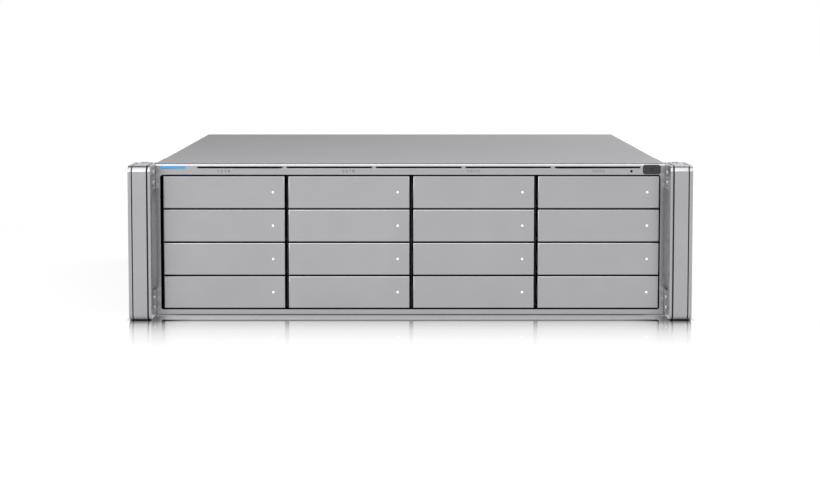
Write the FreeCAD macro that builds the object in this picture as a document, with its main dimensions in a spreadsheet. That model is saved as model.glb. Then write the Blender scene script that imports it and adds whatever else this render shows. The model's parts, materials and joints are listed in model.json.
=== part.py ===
"""Rack-mounted video recorder, three units high, with sixteen swappable drive trays.

Frame: millimetres, +Z up, the drive trays face -Y. X runs across the front and the origin lies on
the floor under the middle of the outline. The model is built from the front panel's face backwards,
so depths are counted from that face and every sub-part is then moved by the same amount along Y.
"""
import FreeCAD, Part
import math
import os
import re
import Sketcher

COLUMNS = 4
ROWS = 4
SLITS = 5
FANS = 3
FAN_BLADES = 7
HEAT_FINS = 9
VENT_COLUMNS = 26
VENT_ROWS = 2
TRAY_VENTS = 5
JAMB_NOTCHES = 3
FULL_TURN = 360
QUARTER_TURN = 90

SIZES = {
    # Drive, and the carrier around it
    "drive_width": 101.6,
    "drive_length": 147,
    "drive_height": 26.1,
    "drive_corner": 3,
    "drive_gap": 0.4,
    "notch_width": 37,
    "notch_height": 7.5,
    "notch_depth": 5.5,
    "rail_wall": 1.35,
    "rail_height": 20,
    "rail_tail": 8,
    "carrier_lift": 1.7,
    "bulkhead": 2,
    "tray_vent_width": 12,
    "tray_vent_height": 11,
    "tray_vent_pitch": 16,
    "tray_vent_start": 9,
    # Lever that closes each tray
    "face_overhang": 0.725,
    "face_margin": 1.94,
    "face_gap": 1.2,
    "face_chamfer": 0.5,
    "column_gap": 3.13,
    "left_gap": 2.8,
    "right_gap": 1.01,
    "lever_skin": 1.6,
    "lever_depth": 9,
    "lever_flange": 1.6,
    "lever_press": 2.5,
    "hinge_inset": 1.2,
    "hinge_clearance": 0.2,
    "pin_radius": 0.9,
    "pin_clearance": 0.05,
    "pin_press": 0.02,
    "lug_wall": 0.48,
    "barrel_wall": 0.95,
    "lug_inner": 1,
    "lug_height": 3.2,
    "lug_inset": 4.5,
    "lug_clearance": 0.3,
    "tongue_width": 3,
    "tongue_height": 9,
    "tongue_inset": 5.5,
    "tongue_entry": 0.4,
    "tongue_clearance": 1.2,
    "lens_radius": 0.95,
    "lens_clearance": 0.04,
    "lens_inset": 10.4,
    "lens_length": 3,
    # Front frame
    "frame_depth": 14,
    "frame_round": 2.4,
    "frame_lip": 2.7,
    "frame_wall": 2.5,
    "frame_web": 1.5,
    "side_lip_depth": 6,
    "side_lip_clearance": 0.1,
    "jamb": 2.9,
    "sill": 4.3,
    "header": 10.14,
    "opening_round": 2,
    "slit_height": 1.5,
    "slit_gap": 3.5,
    "slit_bar_gap": 10.1,
    "slit_button_gap": 2.4,
    "slit_drop": 3.7,
    "notch_pitch": 43,
    "notch_tall": 4.2,
    "notch_spacing": 6.4,
    "notch_cut": 1.1,
    "notch_front": 2,
    "button_width": 15.2,
    "button_round": 2,
    "button_length": 5,
    "button_clearance": 0.2,
    "button_margin": 3,
    "button_foot": 0.6,
    "button_head": 1.62,
    "button_room": 3,
    "reset_hole": 1.1,
    "reset_margin": 28.3,
    "reset_lift": 0.3,
    "reset_radius": 1.3,
    "reset_length": 4,
    "reset_gap": 0.2,
    "bar_length": 21.5,
    "bar_height": 2.2,
    "bar_margin": 3.8,
    "bar_clearance": 0.08,
    "bar_proud": 0.1,
    # Sheet-metal case
    "sheet": 1,
    "cover_lip": 8,
    "lip_gap": 0.2,
    "rear_bay": 290.2,
    # Drive cage and backplane
    "cage_wall": 1,
    "cage_gap": 0.2,
    "cage_setback": 0.3,
    "ledge_grip": 3,
    "ledge_thickness": 1,
    "slide_gap": 0.3,
    "socket_stand": 3.5,
    "socket_lift": 1.2,
    "socket_head": 1.3,
    "socket_side": 1,
    "socket_end": 1,
    "board_thickness": 1.6,
    "backplane_margin": 1,
    "backplane_lift": 2,
    "duct_width": 70,
    "duct_height": 11,
    "duct_lift": 11,
    # Fans
    "fan_clearance": 5.3,
    "fan_depth": 38,
    "fan_spacing": 14,
    "fan_gap": 16,
    "fan_wall": 3,
    "fan_tip_gap": 1,
    "hub_radius": 20,
    "stator_depth": 9,
    "stator_gap": 0.4,
    "strut_width": 4,
    "strut_depth": 4,
    "shaft_radius": 2,
    "shaft_clearance": 0.05,
    "blade_thickness": 1.8,
    "blade_lean": 9,
    "blade_margin": 3,
    # Main board and its network ports
    "main_margin": 8,
    "main_bay_gap": 25.5,
    "main_fan_gap": 62.7,
    "main_rear_gap": 1.5,
    "boss_radius": 3,
    "boss_height": 6,
    "boss_inset": 8,
    "sink_size": 64,
    "sink_base": 6,
    "sink_height": 32,
    "sink_fin": 1.6,
    "sink_inset": 92,
    "jack_width": 16,
    "jack_height": 13.6,
    "jack_length": 21,
    "jack_mouth_width": 11.8,
    "jack_mouth_height": 8.2,
    "jack_mouth_lift": 2.6,
    "jack_mouth_depth": 13,
    "cage_width": 15,
    "cage_height": 10.2,
    "cage_length": 48,
    "cage_skin": 0.6,
    "cage_mouth_depth": 44,
    "port_spacing": 6,
    "port_margin": 14,
    "port_proud": 0.8,
    "port_clearance": 0.4,
    # Rear panel vents
    "vent_width": 3,
    "vent_pitch": 6,
    "vent_row_gap": 6,
    "vent_lift": 58,
    "vent_drop": 10.6,
    "vent_margin": 15,
    # Power supplies
    "psu_width": 73.5,
    "psu_height": 40,
    "psu_length": 185,
    "psu_side": 4,
    "psu_spacing": 4,
    "psu_clearance": 0.5,
    "psu_proud": 1,
    "bay_sheet": 1,
    "inlet_width": 24,
    "inlet_height": 16,
    "inlet_depth": 16,
    "inlet_left": 20,
    "blade_width": 4,
    "blade_tall": 2,
    "blade_length": 9,
    "blade_spread": 7,
    "blade_rise": 3.5,
    "grip_thickness": 4,
    "grip_leg": 5,
    "grip_height": 32,
    "grip_left": 40,
    "psu_reach": 22,
    "grip_round": 4,
    "vent_ring": 10,
    "vent_ring_gap": 1.5,
    "vent_ring_depth": 2,
    "latch_slot_width": 5,
    "latch_slot_height": 17,
    "latch_slot_depth": 8,
    "latch_edge": 1.5,
    "latch_thickness": 2.2,
    "latch_height": 15.6,
    "latch_reach": 11,
    "latch_pin": 0.8,
    "latch_barrel": 1.7,
    "latch_clearance": 0.05,
    # Rack ears and handles
    "ear_width": 20.3,
    "ear_setback": 12,
    "ear_flange": 3,
    "ear_leg": 2,
    "ear_length": 70,
    "ear_lift": 0.4,
    "slot_spacing": 57.15,
    "slot_reach": 11.55,
    "slot_radius": 3.4,
    "slot_length": 10.3,
    "handle_reach": 42,
    "handle_gap": 1,
    "handle_leg": 22,
    "handle_grip": 13,
    "handle_round": 6,
    "handle_inner_round": 5,
    "handle_rise": 0.2,
    "cheek": 2.5,
    "groove_width": 1.1,
    "groove_depth": 1.6,
    # Screws
    "screw_head": 2.8,
    "screw_rise": 1,
    "screw_shank": 1.5,
    "screw_clearance": 0.1,
    "top_head": 3.3,
    "top_rise": 0.5,
    "top_shank_length": 6,
    "handle_bolt_end": 11,
    "handle_bolt_entry": 6,
    "handle_screw_end": 7.4,
    "handle_screw_pitch": 8.8,
    "handle_screw_front": 16,
    "ear_screw_start": 30,
    "ear_screw_pitch": 24,
    "ear_screw_edge": 24,
    "rear_screw_inset": 20,
}

DERIVED = {
    "face_width": "drive_width + 2 * rail_wall + 2 * face_overhang",
    "face_height": "drive_height + face_margin",
    "bay_pitch": "face_width + column_gap",
    "row_pitch": "face_height + face_gap",
    "opening_width": f"left_gap + {COLUMNS} * bay_pitch - column_gap + right_gap",
    "opening_height": f"{ROWS} * row_pitch + face_gap",
    "opening_top": "sill + opening_height",
    "case_width": "opening_width + 2 * jamb",
    "case_height": "opening_top + header",
    "half_width": "case_width / 2",
    "half_inside": "half_width - sheet",
    "first_face": "left_gap - opening_width / 2",
    "first_row": "sill + face_gap",
    "lug_radius": "pin_radius + pin_press + lug_wall",
    "barrel_radius": "pin_radius + pin_clearance + barrel_wall",
    "hinge_setback": "lever_skin + hinge_clearance + lug_radius",
    "carrier_front": "lever_depth + lever_press",
    "tongue_end": "carrier_front + tongue_entry",
    "drive_left": "face_overhang + rail_wall",
    "drive_front": "carrier_front + bulkhead + drive_gap",
    "drive_rear": "drive_front + drive_length",
    "socket_width": "notch_width - 2 * socket_side",
    "socket_height": "notch_height - socket_lift - socket_head",
    "socket_reach": "notch_depth - socket_end",
    "backplane_front": "drive_rear + socket_stand",
    "backplane_rear": "backplane_front + board_thickness",
    "cage_front": "frame_depth + cage_setback",
    "cage_length_total": "backplane_front - cage_front",
    "cage_top": "opening_top - cage_wall",
    "outer_wall": "half_inside - cage_gap - cage_wall",
    "bracket_front": "backplane_rear + fan_gap",
    "fan_front": "bracket_front + sheet",
    "fan_rear": "fan_front + fan_depth",
    "fan_size": "case_height - 2 * sheet - 2 * fan_clearance",
    "fan_opening": "fan_size / 2 - fan_wall",
    "fan_pitch": "fan_size + fan_spacing",
    "fan_middle": "sheet + fan_clearance + fan_size / 2",
    "stator_front": "fan_depth - stator_depth",
    "case_depth": "fan_rear + rear_bay",
    "rear_inside": "case_depth - sheet",
    "panel_y": "(handle_reach - case_depth - psu_reach) / 2",
    "cover_start": "frame_lip",
    "cover_under": "case_height - sheet",
    "slit_middle": "case_height - slit_drop",
    "button_left": "half_width - button_margin - button_width",
    "button_bottom": "opening_top + button_foot",
    "button_height": "header - button_foot - button_head",
    "reset_middle": "opening_top + frame_web + reset_lift + reset_radius",
    "bar_left": "bar_margin - half_width",
    "slit_left": "bar_left + bar_length + slit_bar_gap",
    "slit_right": "button_left - slit_button_gap",
    "slit_length": f"(slit_right - slit_left - {SLITS - 1} * slit_gap) / {SLITS}",
    "main_left": "main_margin - half_inside",
    "main_rear": "rear_inside - main_rear_gap",
    "main_front": "fan_rear + main_fan_gap",
    "main_width": "bay_left - bay_sheet - main_bay_gap - main_left",
    "main_top": "sheet + boss_height + board_thickness",
    "sink_left": "main_left + sink_inset",
    "sink_front": "main_front + sink_inset - sink_size / 2",
    "sink_pitch": f"(sink_size - sink_fin) / {HEAT_FINS - 1}",
    "vent_height": f"(case_height - vent_drop - vent_lift - {VENT_ROWS - 1} * vent_row_gap) / {VENT_ROWS}",
    "port_face": "case_depth + port_proud",
    "port_left": "main_left + port_margin",
    "psu_right": "half_inside - psu_side",
    "psu_bottom": "sheet + slide_gap",
    "psu_pitch": "psu_width + psu_spacing",
    "psu_front": "case_depth + psu_proud - psu_length",
    "bay_right": "psu_right + psu_clearance",
    "bay_left": "psu_right - psu_pitch - psu_width - psu_clearance",
    "bay_top": "psu_bottom + psu_height + psu_clearance",
    "bay_middle": "psu_right - psu_width - psu_spacing / 2",
    "latch_left": "psu_width - latch_edge - latch_slot_width",
    "vent_ring_left": "latch_left - vent_ring_gap - vent_ring",
    "latch_axis_x": "latch_left + latch_slot_width / 2",
    "latch_axis_y": "psu_length - latch_slot_depth / 2",
    "latch_low": "(psu_height - latch_slot_height) / 2",
    "handle_inside": "half_width + handle_gap",
    "frame_reach": "handle_inside - side_lip_clearance",
    "handle_outside": "half_width + ear_width",
    "handle_bottom": "ear_lift",
    "handle_top": "case_height + handle_rise",
    "core_inside": "handle_inside + cheek",
    "core_width": "ear_width - handle_gap - 2 * cheek",
    "slot_x": "half_width + slot_reach",
    "top_screw_x": "core_inside + core_width / 2",
    "top_screw_y": "ear_setback / 2",
    "rear_screw_z": "cover_under - cover_lip / 2",
}

doc = FreeCAD.newDocument("Recorder")
sheet = doc.addObject("Spreadsheet::Sheet", "Dim")
for line, (size_name, size) in enumerate(SIZES.items(), start=1):
    sheet.set(f"A{line}", size_name)
    sheet.set(f"B{line}", str(size))
    sheet.setAlias(f"B{line}", size_name)
doc.recompute()

subparts = []


def rule(text):
    """Write a sum of named sizes as an expression on the sheet."""
    def term(match):
        word = match.group()
        return f"({rule(DERIVED[word])})" if word in DERIVED else f"Dim.{word}"
    return re.sub(r"[a-z_]{2,}", term, str(text))


def value(text):
    """The number that a sum of named sizes comes to."""
    return float(sheet.evalExpression(rule(text)))


def keep(piece, label):
    """Name a finished sub-part, so that it gets a file of its own."""
    piece.Label = label
    subparts.append(piece)
    return piece


def place(piece, x="0", y="0", z="0"):
    """Tie a piece's position to the sheet, with y counted from the front panel's face."""
    for axis, text in zip("xyz", (x, f"panel_y + {y}", z)):
        piece.setExpression(f"Placement.Base.{axis}", rule(text))
    return piece


def shift(piece, x="0", y="0", z="0"):
    """Tie a piece's position to the sheet inside the assembly that it is part of."""
    for axis, text in zip("xyz", (x, y, z)):
        piece.setExpression(f"Placement.Base.{axis}", rule(text))
    return piece


def body(name):
    return doc.addObject("PartDesign::Body", name)


def sketch(owner, role, name, offset="0"):
    """A sketch on one of the body's own origin planes, moved along that plane's normal."""
    plane = next(f for f in owner.Origin.OriginFeatures if f.Role == role)
    made = owner.newObject("Sketcher::SketchObject", name)
    made.AttachmentSupport = [(plane, "")]
    made.MapMode = "FlatFace"
    made.setExpression("AttachmentOffset.Base.z", rule(offset))
    return made


def tie(drawing, kind, *where, text):
    """Add a dimension to a sketch and tie it to the sheet."""
    number = drawing.addConstraint(Sketcher.Constraint(kind, *where, value(text)))
    drawing.setExpression(f"Constraints[{number}]", rule(text))


def outline(drawing, *corners):
    """Draw a closed outline whose corners are tied to the sheet."""
    points = [FreeCAD.Vector(value(x), value(y), 0) for x, y in corners]
    first = drawing.GeometryCount
    count = len(points)
    for index, point in enumerate(points):
        drawing.addGeometry(Part.LineSegment(point, points[(index + 1) % count]), False)
    for index, (x, y) in enumerate(corners):
        drawing.addConstraint(Sketcher.Constraint(
            "Coincident", first + index, 2, first + (index + 1) % count, 1))
        tie(drawing, "DistanceX", -1, 1, first + index, 1, text=x)
        tie(drawing, "DistanceY", -1, 1, first + index, 1, text=y)


def rectangle(drawing, left, low, right, high):
    outline(drawing, (left, low), (right, low), (right, high), (left, high))


def rounded(drawing, left, low, right, high, radius):
    """Draw a rectangle with rounded corners, each a quarter circle."""
    first = drawing.GeometryCount
    sides = (
        ((f"{left} + {radius}", low), (f"{right} - ({radius})", low)),
        ((right, f"{low} + {radius}"), (right, f"{high} - ({radius})")),
        ((f"{right} - ({radius})", high), (f"{left} + {radius}", high)),
        ((left, f"{high} - ({radius})"), (left, f"{low} + {radius}")),
    )
    for start, end in sides:
        ends = [FreeCAD.Vector(value(x), value(y), 0) for x, y in (start, end)]
        line = drawing.addGeometry(Part.LineSegment(*ends), False)
        for vertex, (x, y) in enumerate((start, end), start=1):
            tie(drawing, "DistanceX", -1, 1, line, vertex, text=x)
            tie(drawing, "DistanceY", -1, 1, line, vertex, text=y)
    centres = (
        (f"{right} - ({radius})", f"{low} + {radius}"),
        (f"{right} - ({radius})", f"{high} - ({radius})"),
        (f"{left} + {radius}", f"{high} - ({radius})"),
        (f"{left} + {radius}", f"{low} + {radius}"),
    )
    for corner, (x, y) in enumerate(centres):
        whole = Part.Circle(FreeCAD.Vector(value(x), value(y), 0), FreeCAD.Vector(0, 0, 1), value(radius))
        start = math.radians((corner - 1) * QUARTER_TURN)
        arc = drawing.addGeometry(
            Part.ArcOfCircle(whole, start, start + math.radians(QUARTER_TURN)), False)
        drawing.addConstraint(Sketcher.Constraint("Coincident", first + corner, 2, arc, 1))
        drawing.addConstraint(Sketcher.Constraint(
            "Coincident", arc, 2, first + (corner + 1) % len(sides), 1))
        tie(drawing, "Radius", arc, text=radius)


def circle(drawing, x, y, radius):
    """Draw a circle whose centre and radius are tied to the sheet."""
    centre = FreeCAD.Vector(value(x), value(y), 0)
    up = FreeCAD.Vector(0, 0, 1)
    drawn = drawing.addGeometry(Part.Circle(centre, up, value(radius)), False)
    tie(drawing, "DistanceX", -1, 1, drawn, 3, text=x)
    tie(drawing, "DistanceY", -1, 1, drawn, 3, text=y)
    tie(drawing, "Radius", drawn, text=radius)


def add(owner, drawing, length, back=False, both=False):
    """Pad a sketch, along its plane's normal unless it runs back or both ways."""
    made = owner.newObject("PartDesign::Pad", "Pad")
    made.Profile = drawing
    made.setExpression("Length", rule(length))
    made.Reversed = back
    made.Midplane = both
    doc.recompute()
    return made


def cut(owner, drawing, length, back=False, both=False):
    """Pocket a sketch against its plane's normal, and see that it took material away."""
    before = owner.Shape.Volume
    made = owner.newObject("PartDesign::Pocket", "Pocket")
    made.Profile = drawing
    made.setExpression("Length", rule(length))
    made.Reversed = back
    made.Midplane = both
    doc.recompute()
    if owner.Shape.Volume >= before:
        raise RuntimeError(f"{owner.Label}: {drawing.Name} cuts nothing")
    return made


def repeat(owner, feature, drawing, axis, spans):
    """Repeat a feature along one or two axes of its sketch; spans holds (pitch, count) for each."""
    steps = []
    for direction, (pitch, count) in zip(axis, spans):
        step = owner.newObject("PartDesign::LinearPattern", "Row")
        step.Direction = (drawing, [f"{direction}_Axis"])
        step.Originals = [feature]
        step.setExpression("Length", rule(f"{count - 1} * ({pitch})"))
        step.Occurrences = count
        steps.append(step)
    if len(steps) == 1:
        owner.Tip = steps[0]
        doc.recompute()
        return steps[0]
    field = owner.newObject("PartDesign::MultiTransform", "Field")
    field.Originals = [feature]
    for step in steps:
        step.Originals = []
    field.Transformations = steps
    owner.Tip = field
    doc.recompute()
    return field


def edges(feature, wanted):
    """Names of the feature's edges for which wanted(edge) is true."""
    return [f"Edge{n}" for n, edge in enumerate(feature.Shape.Edges, start=1) if wanted(edge)]


def round_edges(owner, feature, names, radius, kind="Fillet"):
    """Fillet or chamfer named edges by a size from the sheet."""
    made = owner.newObject(f"PartDesign::{kind}", kind)
    made.Base = (feature, names)
    made.setExpression("Radius" if kind == "Fillet" else "Size", rule(radius))
    doc.recompute()
    return made


def along(edge, axis):
    """Whether an edge is straight and runs along an axis."""
    if len(edge.Vertexes) != 2:
        return False
    run = edge.Vertexes[1].Point - edge.Vertexes[0].Point
    return abs(abs(run.dot(axis)) - edge.Length) < TOUCH


def near(edge, **where):
    """Whether an edge's middle lies at the given coordinates, each a sum of named sizes."""
    middle = edge.CenterOfMass
    return all(abs(getattr(middle, axis) - value(text)) < TOUCH for axis, text in where.items())


def box(name, width, depth, height):
    made = doc.addObject("Part::Box", name)
    for side, text in zip(("Length", "Width", "Height"), (width, depth, height)):
        made.setExpression(side, rule(text))
    return made


def rod(name, radius, length, axis="z"):
    """A cylinder along an axis of the part."""
    made = doc.addObject("Part::Cylinder", name)
    made.setExpression("Radius", rule(radius))
    made.setExpression("Height", rule(length))
    turns = {
        "x": FreeCAD.Rotation(Y_AXIS, QUARTER_TURN),
        "y": FreeCAD.Rotation(X_AXIS, -QUARTER_TURN),
        "z": FreeCAD.Rotation(),
    }
    made.Placement = FreeCAD.Placement(FreeCAD.Vector(), turns[axis])
    return made


def group(name, pieces):
    """One sub-part that holds several separate solids."""
    made = doc.addObject("Part::Compound", name)
    made.Links = pieces
    return made


TOUCH = 0.001
X_AXIS = FreeCAD.Vector(1, 0, 0)
Y_AXIS = FreeCAD.Vector(0, 1, 0)
Z_AXIS = FreeCAD.Vector(0, 0, 1)


def make_drive():
    """A 3.5-inch drive: a block with clipped corners and a recess for its plug."""
    made = body("Drive")
    plan = sketch(made, "XY_Plane", "DrivePlan", "carrier_lift")
    rectangle(plan, "drive_left", "drive_front", "drive_left + drive_width", "drive_rear")
    block = add(made, plan, "drive_height")
    uprights = edges(block, lambda edge: along(edge, Z_AXIS))
    round_edges(made, block, uprights, "drive_corner", "Chamfer")
    recess = sketch(made, "XZ_Plane", "DriveRecess", "-(drive_rear)")
    middle = "drive_left + drive_width / 2"
    rectangle(recess, f"{middle} - notch_width / 2", "carrier_lift",
              f"{middle} + notch_width / 2", "carrier_lift + notch_height")
    cut(made, recess, "notch_depth", back=True)
    return made


def make_carrier():
    """The carrier: two rails, a bulkhead with air holes, and the lugs that hold the lever's pin."""
    made = body("Carrier")
    left = "face_overhang"
    right = "face_width - face_overhang"
    tail = "drive_rear - rail_tail"
    plan = sketch(made, "XY_Plane", "CarrierPlan", "carrier_lift")
    outline(plan,
            (left, "carrier_front"), (right, "carrier_front"), (right, tail),
            (f"{right} - rail_wall", tail),
            (f"{right} - rail_wall", "carrier_front + bulkhead"),
            (f"{left} + rail_wall", "carrier_front + bulkhead"),
            (f"{left} + rail_wall", tail), (left, tail))
    add(made, plan, "rail_height")

    vents = sketch(made, "XZ_Plane", "CarrierVents", "-(carrier_front)")
    low = "carrier_lift + (rail_height - tray_vent_height) / 2"
    rectangle(vents, "tray_vent_start", low,
              "tray_vent_start + tray_vent_width", f"{low} + tray_vent_height")
    hole = cut(made, vents, "bulkhead")
    repeat(made, hole, vents, "H", [("tray_vent_pitch", TRAY_VENTS)])

    window = sketch(made, "XZ_Plane", "CarrierWindow", "-(carrier_front)")
    tongue_right = "face_width - tongue_inset"
    rectangle(window,
              f"{tongue_right} - tongue_width - tongue_clearance",
              "(face_height - tongue_height) / 2 - tongue_clearance",
              f"{tongue_right} + tongue_clearance",
              "(face_height + tongue_height) / 2 + tongue_clearance")
    cut(made, window, "bulkhead")

    for name, low in (("Lower", "lug_inset"), ("Upper", "face_height - lug_inset - lug_height")):
        arm = sketch(made, "XY_Plane", f"{name}Arm", low)
        rectangle(arm, "hinge_inset - lug_inner", "hinge_setback",
                  "hinge_inset + lug_radius", "carrier_front + bulkhead")
        add(made, arm, "lug_height")
        end = sketch(made, "XY_Plane", f"{name}End", low)
        circle(end, "hinge_inset", "hinge_setback", "lug_radius")
        add(made, end, "lug_height")
    bore = sketch(made, "XY_Plane", "LugBore", "lug_inset")
    circle(bore, "hinge_inset", "hinge_setback", "pin_radius + pin_press")
    cut(made, bore, "face_height - 2 * lug_inset", back=True)
    return made


def make_pin():
    """The steel pin that the lever turns on."""
    pin = rod("HingePin", "pin_radius", "face_height - 2 * lug_inset")
    return shift(pin, "hinge_inset", "hinge_setback", "lug_inset")


def make_lever():
    """The tray's face: a shallow channel that swings on its pin, with a tongue at the latch end."""
    made = body("Lever")
    face = sketch(made, "XZ_Plane", "LeverFace")
    rectangle(face, "0", "0", "face_width", "face_height")
    skin = add(made, face, "lever_skin", back=True)
    rim = edges(skin, lambda edge: near(edge, y="0"))
    round_edges(made, skin, rim, "face_chamfer", "Chamfer")

    channel = sketch(made, "XZ_Plane", "LeverChannel", "-(face_chamfer)")
    inner_right = "face_width - lever_flange"
    inner_top = "face_height - lever_flange"
    outline(channel,
            ("0", "0"), ("face_width", "0"), ("face_width", "face_height"), ("0", "face_height"),
            ("0", inner_top), (inner_right, inner_top), (inner_right, "lever_flange"),
            ("0", "lever_flange"))
    add(made, channel, "lever_depth - face_chamfer", back=True)

    barrel_low = "lug_inset + lug_height + lug_clearance"
    barrel_tall = f"face_height - 2 * ({barrel_low})"
    barrel = sketch(made, "XY_Plane", "LeverBarrel", barrel_low)
    circle(barrel, "hinge_inset", "hinge_setback", "barrel_radius")
    add(made, barrel, barrel_tall)
    bore = sketch(made, "XY_Plane", "LeverBore", barrel_low)
    circle(bore, "hinge_inset", "hinge_setback", "pin_radius + pin_clearance")
    cut(made, bore, barrel_tall, back=True)

    tongue = sketch(made, "XZ_Plane", "LeverTongue", "-(face_chamfer)")
    tongue_right = "face_width - tongue_inset"
    rectangle(tongue, f"{tongue_right} - tongue_width", "(face_height - tongue_height) / 2",
              tongue_right, "(face_height + tongue_height) / 2")
    add(made, tongue, "tongue_end - face_chamfer", back=True)

    lamp = sketch(made, "XZ_Plane", "LeverLamp")
    circle(lamp, "face_width - lens_inset", "face_height / 2", "lens_radius + lens_clearance")
    cut(made, lamp, "lever_skin")
    return made


def make_lens():
    """The light guide in the lever's face."""
    lens = rod("LampLens", "lens_radius", "lens_length", "y")
    return shift(lens, "face_width - lens_inset", "0", "face_height / 2")


def make_trays():
    """Sixteen trays and their levers, counted from the top left as the panel is read."""
    carrier = make_carrier()
    drive = make_drive()
    pin = make_pin()
    lever = make_lever()
    lens = make_lens()
    for column in range(COLUMNS):
        for row in range(ROWS):
            number = f"{column * ROWS + row + 1:02d}"
            x = f"first_face + {column} * bay_pitch"
            z = f"first_row + {ROWS - 1 - row} * row_pitch"
            tray = group(f"Tray{number}", [carrier, drive, pin])
            keep(place(tray, x, "0", z), f"drive_tray_{number}")
            closer = group(f"Closer{number}", [lever, lens])
            keep(place(closer, x, "0", z), f"tray_lever_{number}")


def make_front_frame():
    """The front frame: one opening for the trays under a hollow header with the slits and controls.

    Shallow lips on both sides close the room between the case and the handles.
    """
    made = body("FrontFrame")
    face = sketch(made, "XZ_Plane", "FrameFace")
    rectangle(face, "-(half_width)", "0", "half_width", "case_height")
    rounded(face, "-(opening_width / 2)", "sill", "opening_width / 2", "opening_top", "opening_round")
    add(made, face, "frame_depth", back=True)

    sides = sketch(made, "XZ_Plane", "FrameSideLips")
    rectangle(sides, "-(frame_reach)", "0", "-(half_width)", "case_height")
    rectangle(sides, "half_width", "0", "frame_reach", "case_height")
    ring = add(made, sides, "side_lip_depth", back=True)
    brow = edges(ring, lambda edge: near(edge, x="0", y="0", z="case_height"))
    round_edges(made, ring, brow, "frame_round")

    step = sketch(made, "YZ_Plane", "FrameStep")
    rectangle(step, "frame_lip", "cover_under", "frame_depth", "case_height")
    cut(made, step, "2 * frame_reach", both=True)

    hollow = sketch(made, "XZ_Plane", "FrameHollow", "-(frame_depth)")
    rectangle(hollow, "frame_web - half_width", "opening_top + frame_web",
              "half_width - frame_web", "cover_under - frame_web")
    cut(made, hollow, "frame_depth - frame_wall", back=True)

    slits = sketch(made, "XZ_Plane", "FrameSlits")
    rectangle(slits, "slit_left", "slit_middle - slit_height / 2",
              "slit_left + slit_length", "slit_middle + slit_height / 2")
    slit = cut(made, slits, "frame_wall")
    repeat(made, slit, slits, "H", [("slit_length + slit_gap", SLITS)])

    controls = sketch(made, "XZ_Plane", "FrameControls")
    rounded(controls, "button_left - button_clearance", "button_bottom - button_clearance",
            "button_left + button_width + button_clearance",
            "button_bottom + button_height + button_clearance", "button_round + button_clearance")
    cut(made, controls, "button_length + button_room")

    small = sketch(made, "XZ_Plane", "FrameSmallHoles")
    circle(small, "half_width - reset_margin", "reset_middle", "reset_hole")
    rectangle(small, "bar_left", "slit_middle - bar_height / 2",
              "bar_left + bar_length", "slit_middle + bar_height / 2")
    cut(made, small, "frame_wall")

    notches = sketch(made, "XZ_Plane", "FrameNotches", "-(notch_front)")
    side = "-(opening_width / 2)"
    middle = "sill + opening_height / 2 - notch_pitch"
    for low in (f"{middle} - notch_spacing / 2 - notch_tall / 2",
                f"{middle} + notch_spacing / 2 - notch_tall / 2"):
        rectangle(notches, f"{side} - notch_cut", low, side, f"{low} + notch_tall")
    pair = cut(made, notches, "frame_depth - notch_front")
    repeat(made, pair, notches, "V", [("notch_pitch", JAMB_NOTCHES)])
    keep(place(made), "front_frame")


def make_controls():
    """The power button, the reset plunger behind its hole, and the status light bar."""
    button = body("PowerButton")
    face = sketch(button, "XZ_Plane", "ButtonFace")
    rounded(face, "0", "0", "button_width", "button_height", "button_round")
    add(button, face, "button_length", back=True)
    keep(place(button, "button_left", "0", "button_bottom"), "power_button")

    plunger = rod("ResetPlunger", "reset_radius", "reset_length", "y")
    place(plunger, "half_width - reset_margin", "frame_wall + reset_gap", "reset_middle")
    keep(plunger, "reset_button")

    bar = box("LightBar", "bar_length - 2 * bar_clearance", "frame_wall + bar_proud",
              "bar_height - 2 * bar_clearance")
    place(bar, "bar_left + bar_clearance", "-(bar_proud)",
          "slit_middle - bar_height / 2 + bar_clearance")
    keep(bar, "light_bar")


def make_base_pan():
    """The pan: floor and side walls folded from one sheet, with bosses under the main board."""
    made = body("BasePan")
    profile = sketch(made, "XZ_Plane", "PanProfile", "-(frame_depth)")
    outline(profile,
            ("-(half_width)", "0"), ("half_width", "0"), ("half_width", "cover_under"),
            ("half_inside", "cover_under"), ("half_inside", "sheet"),
            ("-(half_inside)", "sheet"), ("-(half_inside)", "cover_under"),
            ("-(half_width)", "cover_under"))
    add(made, profile, "rear_inside - frame_depth", back=True)
    bosses = sketch(made, "XY_Plane", "PanBosses")
    for x in ("main_left + boss_inset", "main_left + main_width - boss_inset"):
        for y in ("main_front + boss_inset", "main_rear - boss_inset"):
            circle(bosses, x, y, "boss_radius")
    add(made, bosses, "sheet + boss_height")
    holes = sketch(made, "YZ_Plane", "PanHoles")
    for number in range(2):
        for z in ("ear_screw_edge", "case_height - ear_screw_edge"):
            circle(holes, f"ear_screw_start + {number} * ear_screw_pitch", z,
                   "screw_shank + screw_clearance")
    cut(made, holes, "case_width", both=True)
    keep(place(made), "base_pan")


def rear_screw_places():
    """Where the rear screws stand across the case."""
    return ("rear_screw_inset - half_width", "half_width - rear_screw_inset")


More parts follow.
